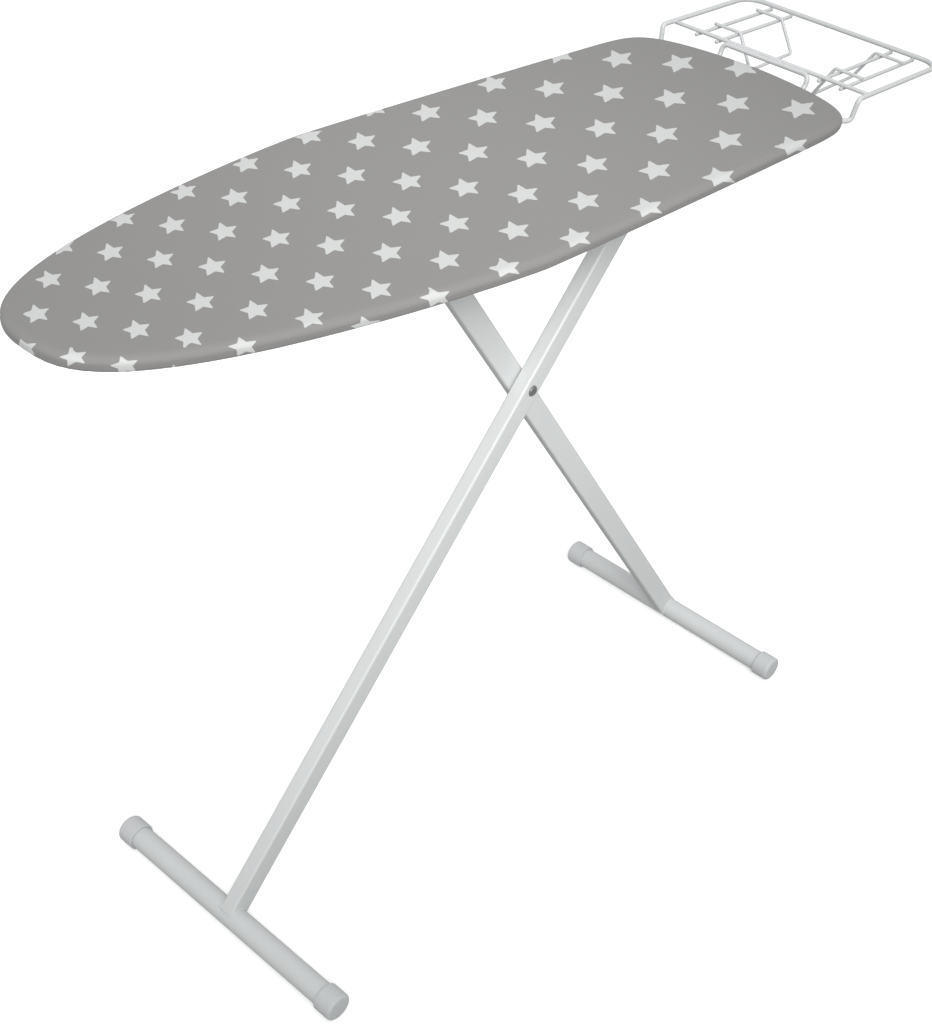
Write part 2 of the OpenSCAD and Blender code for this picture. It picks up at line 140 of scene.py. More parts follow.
def sweep(pts, radius, n=20, closed=False, up=(0.02, 0.03, 1.0), scale=None, ends="chamfer", section=None):
    """Vertices (mm) and faces of a tube along pts. scale(i, k) varies the radius, section(k) gives a ring's shape."""
    p = [np.array(q, float) for q in pts]
    m = len(p)
    tang = []
    for i in range(m):
        a = p[(i - 1) % m] if closed else p[max(i - 1, 0)]
        b = p[(i + 1) % m] if closed else p[min(i + 1, m - 1)]
        tang.append(unit(b - a))
    u = np.array(up, float)
    us = []
    for i in range(m):
        u = unit(u - (u @ tang[i]) * tang[i])
        us.append(u)
    if closed:  # spread the frame's turn over the whole ring
        t0 = tang[0]
        v0 = np.cross(t0, us[0])
        last = unit(us[-1] - (us[-1] @ t0) * t0)
        twist = math.atan2(last @ v0, last @ us[0])
        for i in range(m):
            a = -twist * i / m
            v = np.cross(tang[i], us[i])
            us[i] = us[i] * math.cos(a) + v * math.sin(a)
    rings = []

    def ring(c, i, t, r):
        v = np.cross(t, us[i])
        out = []
        for k in range(n):
            a = 2 * math.pi * k / n
            s = (scale(i, k) if scale else 1.0) * (section(k) if section else 1.0)
            out.append(c + r * s * (math.cos(a) * us[i] + math.sin(a) * v))
        return out

    if not closed and ends == "chamfer":
        ch = min(0.5, radius * 0.2)
        rings.append(ring(p[0], 0, tang[0], radius - ch))
        rings.append(ring(p[0] + tang[0] * ch, 0, tang[0], radius))
        rng = range(1, m - 1)
        for i in rng:
            rings.append(ring(p[i], i, tang[i], radius))
        rings.append(ring(p[-1] - tang[-1] * ch, m - 1, tang[-1], radius))
        rings.append(ring(p[-1], m - 1, tang[-1], radius - ch))
    else:
        for i in range(m):
            rings.append(ring(p[i], i, tang[i], radius))
    verts = [q for r in rings for q in r]
    faces = []
    cnt = len(rings)
    for i in range(cnt if closed else cnt - 1):
        j = (i + 1) % cnt
        for k in range(n):
            k2 = (k + 1) % n
            faces.append((i * n + k, i * n + k2, j * n + k2, j * n + k))
    if not closed:
        faces.append(tuple(range(n - 1, -1, -1)))
        faces.append(tuple((cnt - 1) * n + k for k in range(n)))
    return [v * MM for v in verts], faces


def lathe(profile, n, axis_o, axis, ref, closed_profile=True):
    """Turns a profile of (radius, height) about axis through axis_o (mm)."""
    axis = unit(np.array(axis, float))
    ref = unit(np.array(ref, float))
    oth = np.cross(axis, ref)
    o = np.array(axis_o, float)
    verts, faces = [], []
    m = len(profile)
    for r, h in profile:
        for k in range(n):
            a = 2 * math.pi * k / n
            verts.append((o + axis * h + r * (math.cos(a) * ref + math.sin(a) * oth)) * MM)
    for i in range(m if closed_profile else m - 1):
        j = (i + 1) % m
        for k in range(n):
            k2 = (k + 1) % n
            faces.append((i * n + k, i * n + k2, j * n + k2, j * n + k))
    return verts, faces


def blob(c, r, seed, n=12, m=8, squash=(1, 1, 1), rough=0.12):
    """A weld nugget: an uneven, squashed lump."""
    c = np.array(c, float)
    verts, faces = [], []
    for i in range(m + 1):
        th = math.pi * i / m
        for k in range(n):
            a = 2 * math.pi * k / n
            d = np.array([math.sin(th) * math.cos(a), math.sin(th) * math.sin(a), math.cos(th)])
            w = 1 + rough * noise.noise(Vector(d * 1.7) + Vector((seed, seed * 0.37, 3.1)))
            verts.append((c + d * r * w * np.array(squash)) * MM)
    for i in range(m):
        for k in range(n):
            k2 = (k + 1) % n
            a, b, e, f = i * n + k, i * n + k2, (i + 1) * n + k2, (i + 1) * n + k
            if i == 0:
                faces.append((a, f, e))
            elif i == m - 1:
                faces.append((a, f, b))
            else:
                faces.append((a, f, e, b))
    return verts, faces


def tidy(ob, dist=1e-6, recalc=True):
    bm = bmesh.new()
    bm.from_mesh(ob.data)
    bmesh.ops.remove_doubles(bm, verts=bm.verts, dist=dist)
    loose = [v for v in bm.verts if not v.link_faces]
    bmesh.ops.delete(bm, geom=loose, context="VERTS")
    if recalc:
        bmesh.ops.recalc_face_normals(bm, faces=bm.faces)
    bm.to_mesh(ob.data)
    bm.free()
    ob.data.update()
    return ob


# ------------------------------------------------------------------ outline of the board
def half_at(s):
    if s < NOSE_LEN:
        return HALF_W * max(0.0, 1 - ((NOSE_LEN - s) / NOSE_LEN) ** 1.23) ** (1 / 2.75)
    b = (s - NOSE_LEN) / (BOARD_LEN - NOSE_LEN)
    return (HALF_W - HEEL_TAPER * b ** 1.5) * max(0.0, 1 - b ** 30) ** (1 / 1.5)


def outline_points(count):
    """count points round the board, evenly spaced, with outward normals. Starts at the heel's middle, runs down the -Y side."""
    t = np.linspace(0, 1, 1500)
    s_nose = NOSE_LEN * (1 - np.cos(t * math.pi / 2) ** (2 / 1.23))
    h_nose = HALF_W * np.sin(t * math.pi / 2) ** (2 / 2.75)
    b = 1 - (1 - np.linspace(0, 1, 2500)) ** 2.2
    s_heel = NOSE_LEN + (BOARD_LEN - NOSE_LEN) * b
    h_heel = np.array([half_at(s) for s in s_heel])
    s = np.concatenate([s_nose[:-1], s_heel])
    h = np.concatenate([h_nose[:-1], h_heel])
    h[-1] = 0
    # heel middle -> -Y side -> nose -> +Y side -> back
    px = np.concatenate([s[::-1], s[1:-1]]) + X_NOSE
    py = np.concatenate([-h[::-1], h[1:-1]])
    pts = np.stack([px, py], 1)

    def even(pts, n):
        q = np.vstack([pts, pts[:1]])
        d = np.concatenate([[0], np.cumsum(np.linalg.norm(np.diff(q, axis=0), axis=1))])
        w = np.linspace(0, d[-1], n, endpoint=False)
        return np.stack([np.interp(w, d, q[:, 0]), np.interp(w, d, q[:, 1])], 1), d[-1]

    fine, total = even(pts, 4096)
    sig = 5.0 / (total / 4096)
    k = np.arange(-40, 41)
    g = np.exp(-0.5 * (k / sig) ** 2)
    g /= g.sum()
    sm = np.zeros_like(fine)
    for kk, gg in zip(k, g):
        sm += gg * np.roll(fine, -kk, axis=0)
    fine = sm
    out, total = even(fine, count)
    tan = np.roll(out, -1, axis=0) - np.roll(out, 1, axis=0)
    sig = 7.0 / (total / count)
    acc = np.zeros_like(tan)
    for kk in range(-8, 9):
        acc += math.exp(-0.5 * (kk / sig) ** 2) * np.roll(tan, -kk, axis=0)
    tan = acc / np.linalg.norm(acc, axis=1)[:, None]
    nor = np.stack([tan[:, 1], -tan[:, 0]], 1)
    centre = np.array([X_NOSE + BOARD_LEN / 2, 0])
    if np.mean(np.sum(nor * (out - centre), axis=1)) < 0:
        nor = -nor
    # signed curvature, 1/mm, smoothed
    dn = np.roll(nor, -1, axis=0) - np.roll(nor, 1, axis=0)
    curv = np.sum(dn * tan, axis=1) / (2 * total / count)
    curv = np.abs(curv)
    return out, nor, curv, total


N_OUT = 520
OUT, NOR, CURV, PERIM = outline_points(N_OUT)
ARC = np.arange(N_OUT) * PERIM / N_OUT


def inside_dist(x, y):
    """Distance in from the board's edge, mm, positive inside."""
    d = np.hypot(OUT[:, 0] - x, OUT[:, 1] - y)
    i = int(np.argmin(d))
    return -float((np.array([x, y]) - OUT[i]) @ NOR[i]) if d[i] < 60 else float(d[i])


# ------------------------------------------------------------------ materials
def new_mat(name):
    m = bpy.data.materials.new(name)
    m.use_nodes = True
    nt = m.node_tree
    nt.nodes.clear()
    out = nt.nodes.new("ShaderNodeOutputMaterial")
    bs = nt.nodes.new("ShaderNodeBsdfPrincipled")
    nt.links.new(bs.outputs["BSDF"], out.inputs["Surface"])
    return m, nt, bs


class G:
    """Small helper to wire shader nodes."""

    def __init__(self, nt):
        self.nt = nt

    def n(self, kind, **kw):
        nd = self.nt.nodes.new(kind)
        for k, v in kw.items():
            setattr(nd, k, v)
        return nd

    def put(self, node, sock, val):
        if hasattr(val, "is_output") or isinstance(val, bpy.types.NodeSocket):
            self.nt.links.new(val, node.inputs[sock])
        else:
            node.inputs[sock].default_value = val

    def math(self, op, a, b=None, c=None, clamp=False):
        nd = self.n("ShaderNodeMath", operation=op, use_clamp=clamp)
        self.put(nd, 0, a)
        if b is not None:
            self.put(nd, 1, b)
        if c is not None:
            self.put(nd, 2, c)
        return nd.outputs[0]

    def vmath(self, op, a, b=None):
        nd = self.n("ShaderNodeVectorMath", operation=op)
        self.put(nd, 0, a)
        if b is not None:
            self.put(nd, 1, b)
        return nd

    def noise(self, vec, scale, detail=2.0, rough=0.5, dist=0.0):
        nd = self.n("ShaderNodeTexNoise")
        self.put(nd, "Vector", vec)
        self.put(nd, "Scale", scale)
        self.put(nd, "Detail", detail)
        self.put(nd, "Roughness", rough)
        self.put(nd, "Distortion", dist)
        return nd.outputs["Fac"]

    def ramp(self, fac, lo, hi, a=0.0, b=1.0, smooth=False):
        nd = self.n("ShaderNodeMapRange")
        nd.interpolation_type = "SMOOTHSTEP" if smooth else "LINEAR"
        nd.clamp = True
        self.put(nd, "Value", fac)
        self.put(nd, "From Min", lo)
        self.put(nd, "From Max", hi)
        self.put(nd, "To Min", a)
        self.put(nd, "To Max", b)
        return nd.outputs["Result"]

    def mix(self, fac, a, b):
        nd = self.n("ShaderNodeMix", data_type="RGBA")
        self.put(nd, 0, fac)
        self.put(nd, 6, a)
        self.put(nd, 7, b)
        return nd.outputs[2]

    def scale_vec(self, vec, s):
        nd = self.n("ShaderNodeMapping")
        self.put(nd, "Vector", vec)
        nd.inputs["Scale"].default_value = s
        return nd.outputs[0]

    def bump(self, height, strength, dist, normal=None):
        nd = self.n("ShaderNodeBump")
        self.put(nd, "Height", height)
        nd.inputs["Strength"].default_value = strength
        nd.inputs["Distance"].default_value = dist
        if normal is not None:
            self.put(nd, "Normal", normal)
        return nd.outputs[0]

    def obj(self):
        return self.n("ShaderNodeTexCoord").outputs["Object"]

    def attr(self, name):
        nd = self.n("ShaderNodeAttribute", attribute_type="GEOMETRY", attribute_name=name)
        return nd


def lin(r, g, b):
    f = lambda c: c / 12.92 if c <= 0.04045 else ((c + 0.055) / 1.055) ** 2.4
    return (f(r / 255), f(g / 255), f(b / 255), 1.0)


def grey(v, tint=(1, 1, 1)):
    return (v * tint[0], v * tint[1], v * tint[2], 1.0)


# star print: five-pointed, a little uneven, its outline as radius against angle
TIPS = [(46, 0.290), (121, 0.286), (194, 0.290), (260, 0.286), (334, 0.288)]
DIPS = [(8, 0.144), (81, 0.135), (156, 0.140), (227, 0.153), (299, 0.140)]
R_MAX = 0.32


def star_radius(deg):
    knots = sorted([(a, r) for a, r in TIPS + DIPS])
    knots = [(knots[-1][0] - 360, knots[-1][1])] + knots + [(knots[0][0] + 360, knots[0][1])]
    for (a0, r0), (a1, r1) in zip(knots[:-1], knots[1:]):
        if a0 <= deg <= a1:
            t0, t1, t = (math.radians(q) for q in (a0, a1, deg))
            den = r0 * math.sin(t - t0) + r1 * math.sin(t1 - t)
            return r0 * r1 * math.sin(t1 - t0) / den if den > 1e-9 else r0
    return 0.14


def star_profile(count=90):
    """Radius samples round the star, tips slightly rounded."""
    fine = np.array([star_radius(a) for a in np.arange(0, 360, 1.0)])
    k = np.arange(-4, 5)
    g = np.exp(-0.5 * (k / 1.5) ** 2)
    g /= g.sum()
    sm = sum(gg * np.roll(fine, -kk) for kk, gg in zip(k, g))
    a = np.linspace(0, 360, count + 1)
    return a / 360, np.interp(a, np.arange(0, 361), np.append(sm, sm[0])) / R_MAX


def mat_cover():
    m, nt, bs = new_mat("cover_cloth")
    g = G(nt)
    flat = g.attr("flat_mm").outputs["Vector"]       # the cloth's own flat place, in mm
    ij = g.attr("print_ij").outputs["Vector"]        # place in the star lattice
    wob = g.vmath("SCALE", g.vmath("SUBTRACT", g.n("ShaderNodeTexNoise").outputs["Color"], (0.5, 0.5, 0.5)).outputs[0])
    tex = wob.inputs[0].links[0].from_node.inputs[0].links[0].from_node
    g.put(tex, "Vector", flat)
    tex.inputs["Scale"].default_value = 0.35
    tex.inputs["Detail"].default_value = 2.0
    wob.inputs["Scale"].default_value = 0.016
    pos = g.vmath("ADD", ij, wob.outputs[0]).outputs[0]
    near = g.n("ShaderNodeVectorMath", operation="FLOOR")
    g.put(near, 0, g.vmath("ADD", pos, (0.5, 0.5, 0.5)).outputs[0])
    loc = g.vmath("SUBTRACT", pos, near.outputs[0]).outputs[0]
    sep = g.n("ShaderNodeSeparateXYZ")
    g.put(sep, 0, loc)
    ang = g.math("ARCTAN2", sep.outputs[1], sep.outputs[0])
    frac = g.math("FRACT", g.math("ADD", g.math("DIVIDE", ang, 2 * math.pi), 1.0))
    r2 = g.math("ADD", g.math("MULTIPLY", sep.outputs[0], sep.outputs[0]),
                g.math("MULTIPLY", sep.outputs[1], sep.outputs[1]))
    rad = g.math("SQRT", r2)
    cur = g.n("ShaderNodeFloatCurve")
    cm = cur.mapping
    c = cm.curves[0]
    xs, ys = star_profile()
    c.points[0].location = (0.0, float(ys[0]))
    c.points[-1].location = (1.0, float(ys[-1]))
    for x, y in zip(xs[1:-1], ys[1:-1]):
        c.points.new(float(x), float(y))
    for pt in c.points:
        pt.handle_type = "VECTOR"
    cm.update()
    g.put(cur, "Value", frac)
    edge = g.math("SUBTRACT", g.math("MULTIPLY", cur.outputs[0], R_MAX), rad)
    star = g.ramp(edge, -0.0035, 0.0035, smooth=True)

    # plain weave, about 0.45 mm between threads
    p = 2 * math.pi / 0.9
    s2 = g.n("ShaderNodeSeparateXYZ")
    jit = g.vmath("SCALE", g.n("ShaderNodeTexNoise").outputs["Color"])
    jt = jit.inputs[0].links[0].from_node
    g.put(jt, "Vector", flat)
    jt.inputs["Scale"].default_value = 0.5
    jit.inputs["Scale"].default_value = 0.25
    g.put(s2, 0, g.vmath("ADD", flat, jit.outputs[0]).outputs[0])
    wx = g.math("SINE", g.math("MULTIPLY", s2.outputs[0], p))
    wy = g.math("SINE", g.math("MULTIPLY", s2.outputs[1], p))
    weave = g.math("MULTIPLY_ADD", g.math("MULTIPLY", wx, wy), 0.5, 0.5)
    slub_x = g.noise(g.scale_vec(flat, (0.012, 2.2, 1)), 1.0, 2.0, 0.6)
    slub_y = g.noise(g.scale_vec(flat, (2.2, 0.012, 1)), 1.0, 2.0, 0.6)
    slub = g.math("ADD", slub_x, slub_y)
    cloudy = g.noise(flat, 0.012, 3.0, 0.55)
    fuzz = g.noise(flat, 3.0, 3.0, 0.7)

    # dye and ink, each with the thread's own light and dark
    tone = g.math("ADD", g.math("MULTIPLY", g.math("SUBTRACT", slub, 1.0), 0.10),
                  g.math("ADD", g.math("MULTIPLY", g.math("SUBTRACT", cloudy, 0.5), 0.05),
                         g.math("MULTIPLY", g.math("SUBTRACT", weave, 0.5), 0.05)))
    tone = g.math("ADD", tone, 0.5)
    dye = g.mix(tone, grey(0.200, (1.0, 0.985, 0.955)), grey(0.283, (1.0, 0.985, 0.958)))
    ink = g.mix(tone, grey(0.52, (0.985, 1.0, 0.985)), grey(0.62, (0.985, 1.0, 0.985)))
    cover = g.math("MULTIPLY", star, g.ramp(fuzz, 0.16, 0.34, 0.82, 1.0))
    col = g.mix(cover, dye, ink)
    g.put(bs, "Base Color", col)
    g.put(bs, "Roughness", g.ramp(star, 0.0, 1.0, 0.90, 0.78))
    bs.inputs["Specular IOR Level"].default_value = 0.25
    bs.inputs["Sheen Weight"].default_value = 0.12
    bs.inputs["Sheen Roughness"].default_value = 0.5
    h = g.math("ADD", g.math("MULTIPLY", weave, 0.55), g.math("MULTIPLY", slub, 0.45))
    h = g.math("ADD", h, g.math("MULTIPLY", fuzz, 0.25))
    b1 = g.bump(h, 0.35, 0.00012)
    soft = g.noise(flat, 0.045, 3.0, 0.5)
    b2 = g.bump(soft, 0.25, 0.0012, b1)
    g.put(bs, "Normal", b2)
    return m


def mat_paint(name, base, tint, rough, peel=380.0, coat=0.25):
    """Powder coat over steel: fine orange peel, slightly uneven gloss, faint handling marks."""
    m, nt, bs = new_mat(name)
    g = G(nt)
    ob = g.obj()
    cloudy = g.noise(ob, 14.0, 3.0, 0.6)
    fine = g.noise(ob, peel, 2.0, 0.55)
    speck = g.noise(ob, 2600.0, 1.0, 0.5)
    tone = g.math("ADD", g.math("MULTIPLY", cloudy, 0.6), g.math("MULTIPLY", speck, 0.4))
    col = g.mix(tone, grey(base * 0.955, tint), grey(base * 1.045, tint))
    g.put(bs, "Base Color", col)
    g.put(bs, "Roughness", g.ramp(g.math("ADD", g.math("MULTIPLY", cloudy, 0.7), g.math("MULTIPLY", fine, 0.3)),
                                  0.3, 0.7, rough - 0.05, rough + 0.07))
    bs.inputs["Coat Weight"].default_value = coat
    bs.inputs["Coat Roughness"].default_value = 0.22
    b1 = g.bump(fine, 0.10, 0.00035)
    b2 = g.bump(speck, 0.10, 0.00004, b1)
    g.put(bs, "Normal", b2)
    return m


def mat_plastic(name, base, tint, rough, grain=1800.0):
    """Moulded plastic with a fine spark-eroded texture."""
    m, nt, bs = new_mat(name)
    g = G(nt)
    ob = g.obj()
    gr = g.noise(ob, grain, 2.0, 0.6)
    flow = g.noise(g.scale_vec(ob, (1, 0.25, 1)), 30.0, 3.0, 0.5)
    tone = g.math("ADD", g.math("MULTIPLY", flow, 0.7), g.math("MULTIPLY", gr, 0.3))
    g.put(bs, "Base Color", g.mix(tone, grey(base * 0.95, tint), grey(base * 1.05, tint)))
    g.put(bs, "Roughness", g.ramp(flow, 0.3, 0.7, rough - 0.04, rough + 0.06))
    bs.inputs["Subsurface Weight"].default_value = 0.05
    bs.inputs["Subsurface Radius"].default_value = (0.002, 0.002, 0.002)
    g.put(bs, "Normal", g.bump(gr, 0.25, 0.00006))
    return m


def mat_zinc(name, base, rough, brushed=(1, 1, 1)):
    """Zinc-plated steel: metal with faint spangle, drawn grain and dull patches."""
    m, nt, bs = new_mat(name)
    g = G(nt)
    ob = g.obj()
    grain = g.noise(g.scale_vec(ob, brushed), 900.0, 2.0, 0.6)
    cloudy = g.noise(ob, 22.0, 4.0, 0.6)
    vor = g.n("ShaderNodeTexVoronoi")
    g.put(vor, "Vector", ob)
    vor.inputs["Scale"].default_value = 220.0
    sp = g.math("MULTIPLY", vor.outputs["Color"], 1.0)
    tone = g.math("ADD", g.math("MULTIPLY", cloudy, 0.6), g.math("MULTIPLY", sp, 0.25))
    tone = g.math("ADD", tone, g.math("MULTIPLY", grain, 0.15))
    g.put(bs, "Base Color", g.mix(tone, grey(base * 0.86, (0.99, 1, 1.02)), grey(base * 1.12, (1, 1, 1.01))))
    bs.inputs["Metallic"].default_value = 0.92
    g.put(bs, "Roughness", g.ramp(tone, 0.25, 0.75, rough - 0.08, rough + 0.12))
    g.put(bs, "Normal", g.bump(grain, 0.12, 0.00003))
    return m


def mat_felt():
    m, nt, bs = new_mat("felt")
    g = G(nt)
    ob = g.obj()
    fib = g.noise(g.scale_vec(ob, (1, 1, 2)), 900.0, 5.0, 0.75, 1.2)
    fib2 = g.noise(ob, 240.0, 4.0, 0.7, 2.0)
    big = g.noise(ob, 18.0, 3.0, 0.5)
    tone = g.math("ADD", g.math("MULTIPLY", fib, 0.5), g.math("ADD", g.math("MULTIPLY", fib2, 0.3), g.math("MULTIPLY", big, 0.2)))
    g.put(bs, "Base Color", g.mix(tone, grey(0.48, (1.0, 0.975, 0.90)), grey(0.86, (1.0, 0.98, 0.93))))
    bs.inputs["Roughness"].default_value = 0.95
    bs.inputs["Sheen Weight"].default_value = 0.35
    bs.inputs["Sheen Roughness"].default_value = 0.6
    g.put(bs, "Normal", g.bump(g.math("ADD", fib, fib2), 0.6, 0.0004))
    return m


def mat_elastic():
    m, nt, bs = new_mat("elastic")
    g = G(nt)
    # painted shade: the cord is coloured darker in the grooves between its strands and lighter on their crowns,
    # following the wave that shapes them
    st = g.attr("strand_groove_shade").outputs["Fac"]
    ob = g.obj()
    n = g.noise(ob, 1800.0, 2.0, 0.6)
    tone = g.math("ADD", g.math("MULTIPLY", st, 0.7), g.math("MULTIPLY", n, 0.3))
    g.put(bs, "Base Color", g.mix(tone, grey(0.42, (1, 0.99, 0.97)), grey(0.72, (1, 0.99, 0.97))))
    bs.inputs["Roughness"].default_value = 0.75
    bs.inputs["Sheen Weight"].default_value = 0.2
    g.put(bs, "Normal", g.bump(n, 0.3, 0.00008))
    return m


M_COVER = mat_cover()
M_FELT = mat_felt()
M_ELASTIC = mat_elastic()
M_TUBE = mat_paint("painted_tube", 0.655, (0.975, 1.0, 0.995), 0.50, coat=0.08)
M_WIRE = mat_paint("painted_wire", 0.640, (0.975, 0.995, 1.0), 0.34, peel=700.0)
M_SHEET = mat_paint("painted_sheet", 0.56, (0.97, 0.99, 1.0), 0.42, peel=500.0, coat=0.12)
M_CAP = mat_plastic("cap_plastic", 0.615, (0.972, 0.996, 1.0), 0.44)
M_GRIP = mat_plastic("grip_plastic", 0.40, (0.985, 0.995, 1.0), 0.5, grain=1200.0)
M_NYLON = mat_plastic("nylon", 0.72, (1.0, 0.995, 0.97), 0.46, grain=1500.0)
M_ZINC = mat_zinc("zinc_sheet", 0.62, 0.40, (0.15, 1, 1))
M_STEEL = mat_zinc("bright_steel", 0.68, 0.28)
# painted shade: the pivot bolt's steel is much darker than the other zinc parts, standing in for the shade at the leg
# crossing
M_BOLT_SHADED = mat_zinc("pivot_bolt_painted_shade", 0.34, 0.36)

CAD_LOOKS = {
    "deck_panel": M_SHEET, "deck_rim": M_SHEET, "front_brace": M_SHEET, "rear_brace": M_SHEET,
    "rail_left": M_ZINC, "rail_right": M_ZINC,
    "rail_spreader_mid": M_STEEL, "rail_spreader_front": M_STEEL, "rail_rivets": M_STEEL,
    "lever_bracket_front": M_ZINC, "lever_bracket_rear": M_ZINC, "lever_pivot_rod": M_STEEL,
    "rest_saddles": M_ZINC, "rest_screws": M_STEEL,
    "leg_a_pin": M_STEEL, "leg_a_pin_nuts": M_STEEL, "leg_a_spacer_left": M_NYLON, "leg_a_spacer_right": M_NYLON,
    "cross_bolt": M_BOLT_SHADED, "cross_nut": M_STEEL, "cross_washer": M_NYLON,
    "slide_rod": M_STEEL, "slide_shoe_left": M_NYLON, "slide_shoe_right": M_NYLON, "slide_rod_clips": M_STEEL,
    "lever_plate": M_ZINC,
}
for name, mat in CAD_LOOKS.items():
    ob = nodes[name]
    ob.data.materials.clear()
    ob.data.materials.append(mat)


def finish_piece(ob, mat, body, slot, *cad):
    ob.data.materials.append(mat)
    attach(ob, body)
    if cad:
        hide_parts(*cad)
    return ob


# ------------------------------------------------------------------ cover
A_SH, B_SH = 9.5, 7.0   # rounding of the padded edge, inwards and down
R_BT = 4.0        # turn under the rim
HEM_W = 28.0
COVER_T = 0.8


def bowl(d):
    """How far the stretched cloth dips near the padded edge, mm, at distance d in from it."""
    return 0.9 * math.exp(-((d - 0) / 16.0) ** 2)


def ripple(x, y):
    """The felt's slight unevenness, mm."""
    a = noise.noise(Vector((x * 0.011, y * 0.013, 4.2)))
    b = noise.noise(Vector((x * 0.027 + 9, y * 0.031, 1.7)))
    return 0.34 * a + 0.13 * b - 0.22


# cross-section of the cover outside the flat top: (offset out from the outline, z below the surface, length along the cloth)
def cover_section():
    rows = []
    side_h = SURF - Z_HEM
    for k in range(0, 10):
        a = math.pi / 2 * k / 9
        rows.append((-A_SH + A_SH * math.sin(a) + 0.45 * (k / 9) ** 2, B_SH * (1 - math.cos(a)), "shoulder"))
    z0, z1 = B_SH, side_h - R_BT
    for k in range(1, 3):
        rows.append((0.5 - 0.1 * k * k, z0 + (z1 - z0) * k / 3, "side"))
    for k in range(0, 5):
        a = math.pi / 2 * k / 4
        rows.append((-R_BT + R_BT * math.cos(a), z1 + R_BT * math.sin(a), "turn"))
    for d in (-7.5, -12, -16.5, -21, -24.5, -27):
        rows.append((d, side_h, "hem"))
    # casing that holds the elastic, open towards the middle
    c, r = (-29.7, side_h - 0.2), 2.1
    for k in range(1, 7):
        a = math.radians(90 - 40 * k)
        rows.append((c[0] + r * math.cos(math.radians(90) + math.radians(38 * k)), c[1] + r * math.sin(math.radians(90) + math.radians(38 * k)), "case"))
    return rows


GATHER_SEED = 11.3


def gather_amount(i):
    """0 along the straight sides, 1 round the nose and the heel's corners."""
    return min(1.0, CURV[i] * 95.0)


# arc positions of the gathers: closer where the edge curves
def gather_phase():
    ph = [0.0]
    for i in range(1, N_OUT):
        wl = 15.0 - 4.0 * gather_amount(i) + 4.0 * noise.noise(Vector((ARC[i] * 0.02, 7.7, 1.0)))
        ph.append(ph[-1] + (ARC[i] - ARC[i - 1]) / wl)
    ph = np.array(ph)
    end = ph[-1] + (PERIM - ARC[-1]) / 15.0
    return ph * (round(end) / end) * 2 * math.pi


PHASE = gather_phase()
WIRE_Y = (-130, -62, 62, 130)


